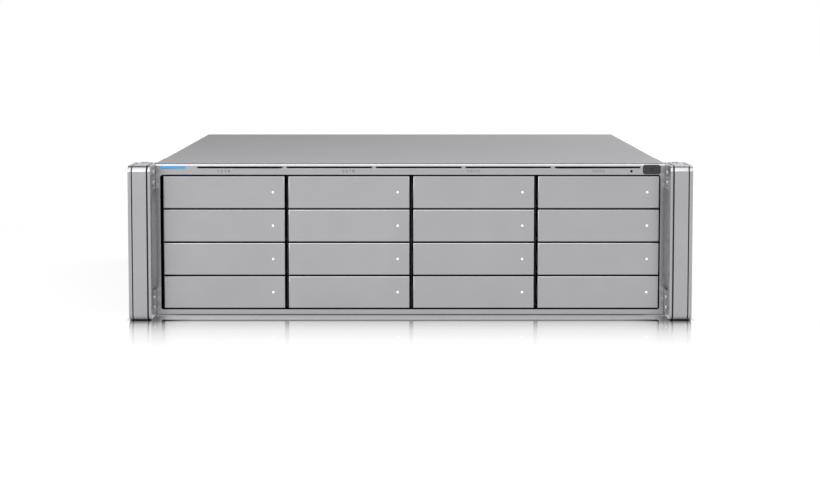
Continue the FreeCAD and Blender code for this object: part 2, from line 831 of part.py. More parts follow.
def make_top_cover():
    """The lid: a flat sheet over the frame's step, with lips inside the side and rear walls."""
    made = body("TopCover")
    lid = sketch(made, "XY_Plane", "CoverLid", "cover_under")
    rectangle(lid, "-(half_width)", "cover_start", "half_width", "rear_inside")
    add(made, lid, "sheet")
    lips = sketch(made, "XY_Plane", "CoverLips", "cover_under - cover_lip")
    outer = "half_inside - lip_gap"
    inner = "half_inside - lip_gap - sheet"
    rectangle(lips, inner, "cage_front", outer, "rear_inside")
    rectangle(lips, f"-({outer})", "cage_front", f"-({inner})", "rear_inside")
    add(made, lips, "cover_lip")
    rear = sketch(made, "XY_Plane", "CoverRearLip", "cover_under - cover_lip")
    rectangle(rear, f"-({inner})", "rear_inside - sheet", inner, "rear_inside")
    add(made, rear, "cover_lip")
    holes = sketch(made, "XZ_Plane", "CoverHoles", "sheet - rear_inside")
    for x in rear_screw_places():
        circle(holes, x, "rear_screw_z", "screw_shank + screw_clearance")
    cut(made, holes, "sheet")
    keep(place(made), "top_cover")


def make_cage():
    """The drive cage: upright walls with ledges that carry the trays' rails, under one roof."""
    pieces = []
    for number in range(COLUMNS + 1):
        made = body(f"CageWall{number}")
        last = number == COLUMNS
        gap_middle = f"first_face + {number} * bay_pitch - column_gap / 2"
        left = "outer_wall" if last else f"{gap_middle} - cage_wall / 2"
        plate = sketch(made, "XZ_Plane", f"Wall{number}", "-(cage_front)")
        rectangle(plate, left, "sheet", f"{left} + cage_wall", "cage_top")
        add(made, plate, "cage_length_total", back=True)
        rail_left = f"first_face + {number} * bay_pitch + face_overhang"
        rail_right = f"first_face + {number - 1} * bay_pitch + face_width - face_overhang"
        ledge_left = left if number == 0 else f"{rail_right} - ledge_grip"
        ledge_right = f"{left} + cage_wall" if last else f"{rail_left} + ledge_grip"
        ledge = sketch(made, "XZ_Plane", f"Ledge{number}", "-(cage_front)")
        top = "first_row + carrier_lift - slide_gap"
        rectangle(ledge, ledge_left, f"{top} - ledge_thickness", ledge_right, top)
        rung = add(made, ledge, "cage_length_total", back=True)
        repeat(made, rung, ledge, "V", [("row_pitch", ROWS)])
        pieces.append(made)
    first_wall = "first_face - column_gap / 2 - cage_wall / 2"
    roof = box("CageRoof", f"outer_wall + cage_wall - ({first_wall})", "cage_length_total", "cage_wall")
    pieces.append(shift(roof, first_wall, "cage_front", "cage_top"))
    keep(place(group("Cage", pieces)), "cage_walls")


def make_backplane():
    """The backplane behind the drives, with an air duct and a plug for each bay."""
    board = body("Backplane")
    face = sketch(board, "XZ_Plane", "BoardFace", "-(backplane_front)")
    rectangle(face, "backplane_margin - half_inside", "sheet + backplane_lift",
              "half_inside - backplane_margin", "opening_top")
    add(board, face, "board_thickness", back=True)
    ducts = sketch(board, "XZ_Plane", "BoardDucts", "-(backplane_front)")
    middle = "first_face + face_width / 2"
    rectangle(ducts, f"{middle} - duct_width / 2", "first_row + duct_lift",
              f"{middle} + duct_width / 2", "first_row + duct_lift + duct_height")
    duct = cut(board, ducts, "board_thickness")
    repeat(board, duct, ducts, "HV", [("bay_pitch", COLUMNS), ("row_pitch", ROWS)])
    keep(place(board), "backplane_board")

    plugs = []
    for column in range(COLUMNS):
        for row in range(ROWS):
            plug = box(f"Plug{column}{row}", "socket_width", "socket_stand + socket_reach",
                       "socket_height")
            shift(plug,
                  f"first_face + {column} * bay_pitch + face_width / 2 - socket_width / 2",
                  "backplane_front - socket_stand - socket_reach",
                  f"first_row + {row} * row_pitch + carrier_lift + socket_lift")
            plugs.append(plug)
    keep(place(group("Plugs", plugs)), "backplane_connectors")


def make_fans():
    """The fan wall: a bracket with three bores, three square fan frames and their rotors."""
    bracket = body("FanBracket")
    face = sketch(bracket, "XZ_Plane", "BracketFace", "-(bracket_front)")
    rectangle(face, "backplane_margin - half_inside", "sheet", "half_inside - backplane_margin",
              "cover_under - cover_lip - cage_gap")
    add(bracket, face, "sheet", back=True)
    bores = sketch(bracket, "XZ_Plane", "BracketBores", "-(bracket_front)")
    first_fan = f"-({(FANS - 1) / 2} * fan_pitch)"
    circle(bores, first_fan, "fan_middle", "fan_opening")
    bore = cut(bracket, bores, "sheet")
    repeat(bracket, bore, bores, "H", [("fan_pitch", FANS)])
    keep(place(bracket), "fan_bracket")

    frame = make_fan_frame()
    rotor = make_fan_rotor()
    frames = []
    for number in range(FANS):
        x = f"({first_fan}) + {number} * fan_pitch"
        frames.append(shift(group(f"FanFrame{number}", [frame]), x, "fan_front", "fan_middle"))
        turning = group(f"FanRotor{number}", [rotor])
        keep(place(turning, x, "fan_front", "fan_middle"), f"fan_rotor_{number + 1}")
    keep(place(group("FanFrames", frames)), "fan_frames")


def make_fan_frame():
    """A square fan frame round its bore, with four struts that hold the motor's bearing."""
    made = body("FanFrame")
    face = sketch(made, "XZ_Plane", "FanFace")
    rectangle(face, "-(fan_size / 2)", "-(fan_size / 2)", "fan_size / 2", "fan_size / 2")
    circle(face, "0", "0", "fan_opening")
    add(made, face, "fan_depth", back=True)
    struts = sketch(made, "XZ_Plane", "FanStruts", "strut_depth - fan_depth")
    reach = "fan_size / 2"
    outline(struts,
            (f"-({reach})", "-(strut_width / 2)"), (reach, "-(strut_width / 2)"),
            (reach, "strut_width / 2"), (f"-({reach})", "strut_width / 2"))
    add(made, struts, "strut_depth", back=True)
    upright = sketch(made, "XZ_Plane", "FanUpright", "strut_depth - fan_depth")
    outline(upright,
            ("-(strut_width / 2)", f"-({reach})"), ("strut_width / 2", f"-({reach})"),
            ("strut_width / 2", reach), ("-(strut_width / 2)", reach))
    add(made, upright, "strut_depth", back=True)
    stator = sketch(made, "XZ_Plane", "FanStator", "-(stator_front)")
    circle(stator, "0", "0", "hub_radius")
    add(made, stator, "stator_depth", back=True)
    bearing = sketch(made, "XZ_Plane", "FanBearing", "-(stator_front)")
    circle(bearing, "0", "0", "shaft_radius + shaft_clearance")
    cut(made, bearing, "stator_depth")
    return made


def make_fan_rotor():
    """A rotor: hub, shaft and leaning blades repeated round the shaft."""
    made = body("FanRotor")
    hub = sketch(made, "XZ_Plane", "RotorHub", "-(blade_margin)")
    circle(hub, "0", "0", "hub_radius")
    add(made, hub, "stator_front - stator_gap - blade_margin", back=True)
    shaft = sketch(made, "XZ_Plane", "RotorShaft", "stator_gap - stator_front")
    circle(shaft, "0", "0", "shaft_radius")
    add(made, shaft, "stator_depth", back=True)
    section = sketch(made, "YZ_Plane", "BladeSection")
    front = "2 * blade_margin"
    rear = "stator_front - stator_gap - blade_margin"
    outline(section,
            (front, "-(blade_lean) - blade_thickness / 2"), (rear, "blade_lean - blade_thickness / 2"),
            (rear, "blade_lean + blade_thickness / 2"), (front, "blade_thickness / 2 - blade_lean"))
    blade = add(made, section, "fan_opening - fan_tip_gap")
    fan = made.newObject("PartDesign::PolarPattern", "Blades")
    fan.Originals = [blade]
    fan.Axis = (hub, ["N_Axis"])
    fan.Angle = FULL_TURN
    fan.Occurrences = FAN_BLADES
    made.Tip = fan
    doc.recompute()
    return made


def make_main_board():
    """The main board on the pan's bosses, and the finned heat sink on its processor."""
    board = box("MainBoard", "main_width", "main_rear - main_front", "board_thickness")
    keep(place(board, "main_left", "main_front", "sheet + boss_height"), "main_board")

    sink = body("HeatSink")
    foot = sketch(sink, "XY_Plane", "SinkFoot", "main_top")
    rectangle(foot, "sink_left", "sink_front", "sink_left + sink_size", "sink_front + sink_size")
    add(sink, foot, "sink_base")
    fins = sketch(sink, "XY_Plane", "SinkFins", "main_top")
    rectangle(fins, "sink_left", "sink_front", "sink_left + sink_fin", "sink_front + sink_size")
    fin = add(sink, fins, "sink_height")
    repeat(sink, fin, fins, "H", [("sink_pitch", HEAT_FINS)])
    keep(place(sink), "heat_sink")


def make_port(name, width, height, length, mouth, lift, depth):
    """A socket block with one rectangular mouth that opens to the rear."""
    made = body(name)
    face = sketch(made, "XZ_Plane", f"{name}Face")
    rectangle(face, "0", "0", width, height)
    add(made, face, length)
    hole = sketch(made, "XZ_Plane", f"{name}Mouth")
    wide, tall = mouth
    rectangle(hole, f"({width} - ({wide})) / 2", lift,
              f"({width} + ({wide})) / 2", f"{lift} + {tall}")
    cut(made, hole, depth, back=True)
    return made


def port_places():
    """Left edges of the network ports, one after the other along the main board's rear edge."""
    second = "port_left + jack_width + port_spacing"
    return ("port_left", second, f"{second} + cage_width + port_spacing")


def make_ports():
    """The network ports on the main board's rear edge: one copper jack and two optical cages."""
    jack = make_port("Jack", "jack_width", "jack_height", "jack_length",
                     ("jack_mouth_width", "jack_mouth_height"), "jack_mouth_lift", "jack_mouth_depth")
    shells = [make_port(f"Optic{number}", "cage_width", "cage_height", "cage_length",
                        ("cage_width - 2 * cage_skin", "cage_height - 2 * cage_skin"),
                        "cage_skin", "cage_mouth_depth") for number in range(2)]
    ports = [jack, *shells]
    for port, left in zip(ports, port_places()):
        shift(port, left, "port_face", "main_top")
    keep(place(group("Ports", ports)), "network_ports")


def make_rear_panel():
    """The rear panel: cut-outs for the supplies and ports, and two rows of air slots."""
    made = body("RearPanel")
    face = sketch(made, "XZ_Plane", "RearFace", "-(rear_inside)")
    rectangle(face, "-(half_width)", "0", "half_width", "case_height")
    rectangle(face, "bay_left", "sheet", "bay_right", "bay_top")
    sizes = (("jack_width", "jack_height"),) + (("cage_width", "cage_height"),) * 2
    for left, (wide, tall) in zip(port_places(), sizes):
        rectangle(face, f"{left} - port_clearance", "main_top - port_clearance",
                  f"{left} + {wide} + port_clearance", f"main_top + {tall} + port_clearance")
    for x in rear_screw_places():
        circle(face, x, "rear_screw_z", "screw_shank + screw_clearance")
    add(made, face, "sheet", back=True)
    vents = sketch(made, "XZ_Plane", "RearVents", "-(rear_inside)")
    left = "vent_margin - half_inside"
    rectangle(vents, left, "vent_lift", f"{left} + vent_width", "vent_lift + vent_height")
    slot = cut(made, vents, "sheet")
    repeat(made, slot, vents, "HV",
           [("vent_pitch", VENT_COLUMNS), ("vent_height + vent_row_gap", VENT_ROWS)])
    keep(place(made), "rear_panel")


def make_supply():
    """A power supply: a long box with an inlet, a round air grille and a slot for its latch."""
    made = body("Supply")
    plan = sketch(made, "XY_Plane", "SupplyPlan")
    rectangle(plan, "0", "0", "psu_width", "psu_length")
    add(made, plan, "psu_height")
    rear = "-(psu_length)"
    inlet = sketch(made, "XZ_Plane", "SupplyInlet", rear)
    rectangle(inlet, "inlet_left - inlet_width / 2", "(psu_height - inlet_height) / 2",
              "inlet_left + inlet_width / 2", "(psu_height + inlet_height) / 2")
    cut(made, inlet, "inlet_depth", back=True)
    contacts = sketch(made, "XZ_Plane", "SupplyContacts", "inlet_depth - psu_length")
    for across, up in (("-(blade_spread)", "-(blade_rise)"), ("0", "blade_rise"),
                       ("blade_spread", "-(blade_rise)")):
        left = f"inlet_left + {across} - blade_tall / 2"
        low = f"psu_height / 2 + {up} - blade_width / 2"
        rectangle(contacts, left, low, f"{left} + blade_tall", f"{low} + blade_width")
    add(made, contacts, "blade_length", back=True)
    grille = sketch(made, "XZ_Plane", "SupplyGrille", rear)
    circle(grille, "vent_ring_left", "psu_height / 2", "vent_ring")
    cut(made, grille, "vent_ring_depth", back=True)
    slot = sketch(made, "XZ_Plane", "SupplySlot", rear)
    rectangle(slot, "latch_left", "latch_low", "latch_left + latch_slot_width",
              "latch_low + latch_slot_height")
    cut(made, slot, "latch_slot_depth", back=True)
    pin = sketch(made, "XY_Plane", "SupplyPin", "latch_low")
    circle(pin, "latch_axis_x", "latch_axis_y", "latch_pin")
    add(made, pin, "latch_slot_height")
    return made


def make_grip():
    """The loop that a supply is pulled out by."""
    made = body("Grip")
    side = sketch(made, "YZ_Plane", "GripSide", "grip_left")
    low = "(psu_height - grip_height) / 2"
    high = "(psu_height + grip_height) / 2"
    tip = "psu_length + psu_reach - psu_proud"
    outline(side,
            ("psu_length", low), (tip, low), (tip, high), ("psu_length", high),
            ("psu_length", f"{high} - grip_leg"), (f"{tip} - grip_leg", f"{high} - grip_leg"),
            (f"{tip} - grip_leg", f"{low} + grip_leg"), ("psu_length", f"{low} + grip_leg"))
    loop = add(made, side, "grip_thickness")
    corners = edges(loop, lambda edge: along(edge, X_AXIS) and near(edge, y=tip))
    round_edges(made, loop, corners, "grip_round")
    return made


def make_latch():
    """The thumb latch beside a supply's loop, turning on a pin across its slot."""
    made = body("Latch")
    low = "latch_low + (latch_slot_height - latch_height) / 2"
    plan = sketch(made, "XY_Plane", "LatchPlan", low)
    rectangle(plan, "latch_axis_x - latch_thickness / 2", "latch_axis_y",
              "latch_axis_x + latch_thickness / 2", "psu_length + latch_reach")
    add(made, plan, "latch_height")
    barrel = sketch(made, "XY_Plane", "LatchBarrel", low)
    circle(barrel, "latch_axis_x", "latch_axis_y", "latch_barrel")
    add(made, barrel, "latch_height")
    bore = sketch(made, "XY_Plane", "LatchBore", low)
    circle(bore, "latch_axis_x", "latch_axis_y", "latch_pin + latch_clearance")
    cut(made, bore, "latch_height", back=True)
    return made


def make_supplies():
    """Two swappable power supplies side by side on the floor, and the bay that guides them."""
    supply = make_supply()
    grip = make_grip()
    latch = make_latch()
    for number in range(2):
        x = f"psu_right - psu_width - {number} * psu_pitch"
        unit = group(f"Psu{number}", [supply, grip])
        keep(place(unit, x, "psu_front", "psu_bottom"), f"psu_{number + 1}")
        release = group(f"PsuLatch{number}", [latch])
        keep(place(release, x, "psu_front", "psu_bottom"), f"psu_latch_{number + 1}")

    bay = body("SupplyBay")
    profile = sketch(bay, "XZ_Plane", "BayProfile", "-(psu_front)")
    half = "bay_sheet / 2"
    outline(profile,
            ("bay_left - bay_sheet", "sheet"), ("bay_left", "sheet"), ("bay_left", "bay_top"),
            (f"bay_middle - {half}", "bay_top"), (f"bay_middle - {half}", "sheet"),
            (f"bay_middle + {half}", "sheet"), (f"bay_middle + {half}", "bay_top"),
            ("bay_right", "bay_top"), ("bay_right", "sheet"), ("bay_right + bay_sheet", "sheet"),
            ("bay_right + bay_sheet", "bay_top + bay_sheet"),
            ("bay_left - bay_sheet", "bay_top + bay_sheet"))
    add(bay, profile, "rear_inside - psu_front", back=True)
    keep(place(bay), "psu_bay")


def arch(made, name, start, width, inset="0"):
    """A handle's arch in side view, padded across: two legs and a grip with rounded corners."""
    side = sketch(made, "YZ_Plane", f"{name}Arch", start)
    front = f"{inset} - handle_reach"
    low = f"handle_bottom + {inset}"
    high = f"handle_top - {inset}"
    gap_front = "handle_grip - handle_reach"
    gap_low = "handle_bottom + handle_leg"
    gap_high = "handle_top - handle_leg"
    outline(side,
            (front, low), ("ear_setback", low), ("ear_setback", gap_low), (gap_front, gap_low),
            (gap_front, gap_high), ("ear_setback", gap_high), ("ear_setback", high), (front, high))
    return add(made, side, width)


def round_arch(made, feature, inset="0"):
    """Round the arch's outer front corners and the corners of its finger gap."""
    front = f"{inset} - handle_reach"
    outer = edges(feature, lambda edge: along(edge, X_AXIS) and near(edge, y=front))
    done = round_edges(made, feature, outer, f"handle_round - {inset}")
    inner = edges(done, lambda edge: along(edge, X_AXIS) and near(edge, y="handle_grip - handle_reach"))
    return round_edges(made, done, inner, "handle_inner_round")


def drill_cheek(made, start, width):
    """Holes for the screws that hold the inner cheek, two in each leg."""
    holes = sketch(made, "YZ_Plane", f"{made.Name}Holes", start)
    for z in handle_screw_heights():
        circle(holes, "-(handle_screw_front)", z, "screw_shank + screw_clearance")
    cut(made, holes, width, back=True)


def handle_screw_heights():
    """Heights of the screws on a handle's inner side."""
    return ("handle_bottom + handle_screw_end",
            "handle_bottom + handle_screw_end + handle_screw_pitch",
            "handle_top - handle_screw_end - handle_screw_pitch",
            "handle_top - handle_screw_end")


def handle_bolt_heights():
    """Heights of the bolts that hold a handle's legs to the rack ear."""
    return ("handle_bottom + handle_bolt_end", "handle_top - handle_bolt_end")


def make_handle(side):
    """A handle: an arched core with a cheek on each side, set off by a narrow groove."""
    right = side == "right"
    core_start = "core_inside" if right else "-(core_inside) - core_width"
    inner_start = "handle_inside" if right else "-(core_inside)"
    outer_start = "core_inside + core_width" if right else "-(handle_outside)"

    core = body(f"Core{side}")
    shoulder = arch(core, f"Shoulder{side}", core_start, "core_width", "groove_depth")
    round_arch(core, shoulder, "groove_depth")
    middle = arch(core, f"Core{side}", f"{core_start} + groove_width", "core_width - 2 * groove_width")
    outer = edges(middle, lambda edge: along(edge, X_AXIS) and near(edge, y="-(handle_reach)"))
    round_edges(core, middle, outer, "handle_round")
    hole = sketch(core, "XY_Plane", f"TopHole{side}", "handle_top")
    screw_x = "top_screw_x" if right else "-(top_screw_x)"
    circle(hole, screw_x, "top_screw_y", "screw_shank + screw_clearance")
    cut(core, hole, "top_shank_length + screw_clearance")
    threads = sketch(core, "XZ_Plane", f"BoltHoles{side}", "-(ear_setback)")
    for z in handle_bolt_heights():
        circle(threads, screw_x, z, "screw_shank + screw_clearance")
    cut(core, threads, "handle_bolt_entry + screw_clearance", back=True)

    inner = body(f"InnerCheek{side}")
    plate = arch(inner, f"Inner{side}", inner_start, "cheek")
    round_arch(inner, plate)
    drill_cheek(inner, inner_start, "cheek")
    outer = body(f"OuterCheek{side}")
    plate = arch(outer, f"Outer{side}", outer_start, "cheek")
    round_arch(outer, plate)
    keep(place(group(f"Handle{side}", [core, inner, outer])), f"handle_{side}")


def make_ear(side):
    """A rack ear: a flange with two slots behind the handle, and a leg along the case's side."""
    right = side == "right"

    def across(text):
        return text if right else f"-({text})"

    made = body(f"Ear{side}")
    plan = sketch(made, "XY_Plane", f"Ear{side}Plan", "ear_lift")
    back = "ear_setback + ear_flange"
    outline(plan,
            (across("half_width"), "ear_setback"), (across("handle_outside"), "ear_setback"),
            (across("handle_outside"), back), (across("half_width + ear_leg"), back),
            (across("half_width + ear_leg"), "ear_setback + ear_length"),
            (across("half_width"), "ear_setback + ear_length"))
    add(made, plan, "case_height - 2 * ear_lift")
    slots = sketch(made, "XZ_Plane", f"Ear{side}Slots", "-(ear_setback)")
    straight = "(slot_length - 2 * slot_radius) / 2"
    middle = across("slot_x")
    for up in ("-(slot_spacing / 2)", "slot_spacing / 2"):
        z = f"case_height / 2 + {up}"
        rectangle(slots, f"{middle} - {straight}", f"{z} - slot_radius",
                  f"{middle} + {straight}", f"{z} + slot_radius")
    cut(made, slots, "ear_flange")
    for name, end in (("Near", f"{middle} - {straight}"), ("Far", f"{middle} + {straight}")):
        ends = sketch(made, "XZ_Plane", f"Ear{side}{name}", "-(ear_setback)")
        for up in ("-(slot_spacing / 2)", "slot_spacing / 2"):
            circle(ends, end, f"case_height / 2 + {up}", "slot_radius")
        cut(made, ends, "ear_flange")
    bolts = sketch(made, "XZ_Plane", f"Ear{side}Bolts", "-(ear_setback)")
    for z in handle_bolt_heights():
        circle(bolts, across("top_screw_x"), z, "screw_shank + screw_clearance")
    cut(made, bolts, "ear_flange")
    holes = sketch(made, "YZ_Plane", f"Ear{side}Holes", across("half_width"))
    for number in range(2):
        for z in ("ear_screw_edge", "case_height - ear_screw_edge"):
            circle(holes, f"ear_screw_start + {number} * ear_screw_pitch", z,
                   "screw_shank + screw_clearance")
    cut(made, holes, "ear_leg", back=right)
    keep(place(made), f"rack_ear_{side}")


def screw(name, seat, direction, head, rise, shank):
    """A screw as one solid: a low head on its seat and a shank that goes in behind it."""
    axis = direction.strip("-")
    outward = not direction.startswith("-")
    top = rod(f"{name}Head", head, rise, axis)
    stem = rod(f"{name}Shank", "screw_shank", shank, axis)
    x, y, z = seat
    spots = {"x": x, "y": y, "z": z}
    head_spot = dict(spots)
    stem_spot = dict(spots)
    if outward:
        stem_spot[axis] = f"{spots[axis]} - ({shank})"
    else:
        head_spot[axis] = f"{spots[axis]} - ({rise})"
    shift(top, **head_spot)
    shift(stem, **stem_spot)
    made = doc.addObject("Part::Fuse", name)
    made.Base = top
    made.Tool = stem
    made.Refine = True
    return made


def make_screws():
    """The screws that show: on the handles, the ears' legs and the rear panel."""
    made = []
    for side, sign in (("Right", ""), ("Left", "-")):
        inward = "-x" if sign == "" else "x"
        outward = "x" if sign == "" else "-x"
        for number, z in enumerate(handle_screw_heights()):
            seat = (f"{sign}(handle_inside)", "-(handle_screw_front)", z)
            made.append(screw(f"Cheek{side}{number}", seat, inward,
                              "screw_head", "screw_rise", "cheek"))
        for number in range(2):
            for level, z in enumerate(("ear_screw_edge", "case_height - ear_screw_edge")):
                seat = (f"{sign}(half_width + ear_leg)",
                        f"ear_screw_start + {number} * ear_screw_pitch", z)
                made.append(screw(f"Ear{side}{number}{level}", seat, outward,
                                  "screw_head", "screw_rise", "ear_leg + sheet"))
        for number, z in enumerate(handle_bolt_heights()):
            seat = (f"{sign}(top_screw_x)", "ear_setback + ear_flange", z)
            made.append(screw(f"Bolt{side}{number}", seat, "y",
                              "screw_head", "screw_rise", "ear_flange + handle_bolt_entry"))
        seat = (f"{sign}(top_screw_x)", "top_screw_y", "handle_top")
        made.append(screw(f"Top{side}", seat, "z", "top_head", "top_rise", "top_shank_length"))
        seat = (f"{sign}(half_width - rear_screw_inset)", "case_depth", "rear_screw_z")
        made.append(screw(f"Rear{side}", seat, "y", "screw_head", "screw_rise", "2 * sheet"))
    keep(place(group("Screws", made)), "case_screws")


make_trays()
make_front_frame()
make_controls()
make_base_pan()
make_top_cover()
make_cage()
make_backplane()
make_fans()
make_main_board()
make_ports()
make_rear_panel()
make_supplies()
for hand in ("left", "right"):
    make_handle(hand)
    make_ear(hand)
make_screws()
doc.recompute()

broken = [o.Label for o in doc.Objects if "Invalid" in o.State or "Error" in o.State]
if broken:
    raise RuntimeError(f"failed objects: {broken}")
for piece in subparts:
    if piece.Shape.isNull() or not piece.Shape.isValid():
        raise RuntimeError(f"{piece.Label} has no valid shape")

os.makedirs("parts", exist_ok=True)
for piece in subparts:
    piece.Shape.exportStep(f"parts/{piece.Label}.step")
    solids = piece.Shape.Solids
    print(f"{piece.Label}: {len(solids)} solids, {sum(s.Volume for s in solids) / 1000:.2f} cm3")
print(f"{len(subparts)} sub-parts, case {value('case_width'):.1f} x {value('case_depth'):.1f} x "
      f"{value('case_height'):.1f} mm")
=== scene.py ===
# %% [markdown]
# # A rack video recorder, dressed for its picture
#
# The recorder is a three-unit box for a 19-inch rack: sixteen drive trays behind hinged faces, two
# arched handles, and plug-in supplies at the back. Its construction comes ready made and at its real
# size. This lesson gives every part a finish, and models the pieces whose form needs more than that.
#
# First the frame is loaded. Its parts sit at the origin with their place in their meshes, in metres,
# so a new piece goes where a neighbour's box says, and nothing has to be fitted by eye.

# %% Load the frame
import json
import math

import bmesh
import bpy
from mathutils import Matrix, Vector


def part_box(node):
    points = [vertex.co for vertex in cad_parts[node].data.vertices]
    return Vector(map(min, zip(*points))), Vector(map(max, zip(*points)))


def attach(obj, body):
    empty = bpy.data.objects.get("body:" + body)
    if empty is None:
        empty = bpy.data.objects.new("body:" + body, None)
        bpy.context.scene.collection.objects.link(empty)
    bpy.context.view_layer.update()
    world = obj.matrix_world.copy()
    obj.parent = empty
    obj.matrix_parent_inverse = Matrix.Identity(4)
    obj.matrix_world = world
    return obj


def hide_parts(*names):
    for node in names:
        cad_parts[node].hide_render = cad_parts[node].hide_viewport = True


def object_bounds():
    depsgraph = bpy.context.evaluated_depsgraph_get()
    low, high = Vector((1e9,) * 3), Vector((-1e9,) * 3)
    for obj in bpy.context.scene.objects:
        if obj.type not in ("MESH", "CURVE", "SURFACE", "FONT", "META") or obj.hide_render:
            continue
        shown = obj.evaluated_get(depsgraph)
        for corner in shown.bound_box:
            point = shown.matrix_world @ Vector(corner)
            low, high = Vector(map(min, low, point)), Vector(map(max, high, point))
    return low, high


MM = 0.001
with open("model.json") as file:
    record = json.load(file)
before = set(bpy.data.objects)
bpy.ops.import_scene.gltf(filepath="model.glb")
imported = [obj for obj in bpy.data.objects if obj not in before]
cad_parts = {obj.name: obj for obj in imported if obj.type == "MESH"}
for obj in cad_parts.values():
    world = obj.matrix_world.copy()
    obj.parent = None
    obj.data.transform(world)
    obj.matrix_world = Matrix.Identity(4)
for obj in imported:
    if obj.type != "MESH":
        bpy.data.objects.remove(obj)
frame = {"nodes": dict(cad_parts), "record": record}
nodes = frame["nodes"]
cad_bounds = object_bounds()
case_low, case_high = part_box("front_frame")
PANEL = case_low.y
LID_TOP = case_high.z
TRAYS = [f"{number:02d}" for number in range(1, 17)]
print("front frame", [round(side / MM, 1) for side in case_high - case_low], "mm")

# %% [markdown]
# ## Small tools
#
# Pieces are modelled with operators, as by hand. An operator works on everything that is selected,
# and the loaded parts all are, so each piece starts from an empty selection. It begins as a cube from
# corner to corner or as a cylinder, because a box or a round that is already true needs no fitting.


# %% Start a piece
def clear_selection():
    bpy.ops.object.select_all(action="DESELECT")


def choose(piece):
    """Select a piece alone, and make it the active one."""
    clear_selection()
    piece.select_set(True)
    bpy.context.view_layer.objects.active = piece


def apply_place(piece):
    """Move a piece's place and turn into its mesh."""
    choose(piece)
    bpy.ops.object.transform_apply(location=True, rotation=True, scale=True)
    return piece


def fresh_piece(name):
    """The piece that an operator has just added, named and with its place applied."""
    bpy.context.object.name = name
    return apply_place(bpy.context.object)


def block(name, low, high):
    """A cube from corner to corner, as the start of a piece."""
    clear_selection()
    middle = [(a + b) / 2 for a, b in zip(low, high)]
    bpy.ops.mesh.primitive_cube_add(size=1, location=middle, scale=[b - a for a, b in zip(low, high)])
    return fresh_piece(name)


def disc(name, centre, radius, depth, axis, corners=24):
    """A cylinder about a point, along x, y or z."""
    clear_selection()
    turn = {"x": (0, math.pi / 2, 0), "y": (math.pi / 2, 0, 0), "z": (0, 0, 0)}[axis]
    bpy.ops.mesh.primitive_cylinder_add(vertices=corners, radius=radius, depth=depth,
                                        location=centre, rotation=turn)
    return fresh_piece(name)


# %% [markdown]
# In edit mode, a piece's faces and edges are found by where they lie and which way they look, and not
# by their number, which changes with every cut. The picked ones are pulled out, rounded, pressed in or
# sliced. Two places within a hundredth of a millimetre count as the same.


# %% Pick and shape
TOUCH = 0.01 * MM
FACING = 0.9
PARALLEL = 0.99


def centre(part):
    """The middle of a face or an edge."""
    corners = [vertex.co for vertex in part.verts]
    return sum(corners, Vector()) / len(corners)


def runs_along(edge, axis):
    """Whether an edge runs along axis 0, 1 or 2."""
    return abs((edge.verts[1].co - edge.verts[0].co).normalized()[axis]) > PARALLEL


def near(a, b):
    return abs(a - b) < TOUCH


def pick(piece, kind, wanted):
    """Go into edit mode with just the faces or edges selected for which wanted(part) is true."""
    choose(piece)
    bpy.ops.object.mode_set(mode="EDIT")
    bpy.ops.mesh.select_mode(type=kind)
    bpy.ops.mesh.select_all(action="DESELECT")
    mesh = bmesh.from_edit_mesh(piece.data)
    mesh.normal_update()
    for part in (mesh.faces if kind == "FACE" else mesh.edges):
        part.select_set(wanted(part))
    mesh.select_flush_mode()
    bmesh.update_edit_mesh(piece.data)


def done():
    bpy.ops.object.mode_set(mode="OBJECT")


def pull(piece, wanted, move):
    """Extrude the wanted faces by a move."""
    pick(piece, "FACE", wanted)
    bpy.ops.mesh.extrude_region_move(TRANSFORM_OT_translate={"value": move})
    done()


def round_off(piece, wanted, radius, segments):
    """Bevel the wanted edges."""
    pick(piece, "EDGE", wanted)
    bpy.ops.mesh.bevel(offset=radius, segments=segments, affect="EDGES")
    done()


def sink(piece, wanted, border, depth):
    """Inset the wanted face by a border, and press its middle in along its normal."""
    pick(piece, "FACE", wanted)
    bpy.ops.mesh.inset(thickness=border, depth=0)
    bpy.ops.mesh.inset(thickness=0, depth=-depth)
    done()


def slice_at(piece, axis, places):
    """Cut every face along planes across an axis, without taking anything away."""
    for spot in places:
        pick(piece, "FACE", lambda face: True)
        plane = [0, 0, 0]
        plane[axis] = spot
        across = [0, 0, 0]
        across[axis] = 1
        bpy.ops.mesh.bisect(plane_co=plane, plane_no=across)
        done()


# %% [markdown]
# A finished piece is smoothed with its sharp edges kept. Weighted normals then hold large faces flat, so
# that a bevel catches the light and the face beside it doesn't. The piece is told which body it moves
# with, and is given its finish when one is named.


# %% Finish a piece
SMOOTH_ANGLE = math.radians(35)
SHARP = math.radians(40)


def modify(piece, kind, **settings):
    """Add a modifier and apply it."""
    choose(piece)
    added = piece.modifiers.new(kind.title(), kind)
    for name, setting in settings.items():
        setattr(added, name, setting)
    bpy.ops.object.modifier_apply(modifier=added.name)


def join(name, pieces):
    """Make several meshes one piece of separate shells."""
    choose(pieces[0])
    for piece in pieces[1:]:
        piece.select_set(True)
    bpy.ops.object.join()
    pieces[0].name = name
    return pieces[0]


def copy_of(piece, name, move, points=(0, 0, 1)):
    """A copy with a mesh of its own, its upright turned to a direction and then moved."""
    twin = piece.copy()
    twin.data = piece.data.copy()
    twin.name = name
    bpy.context.scene.collection.objects.link(twin)
    twin.rotation_euler = Vector((0, 0, 1)).rotation_difference(Vector(points)).to_euler()
    twin.location = move
    return apply_place(twin)


def drop(piece):
    """Remove a piece that was only a tool or a pattern for copies."""
    bpy.data.objects.remove(piece)


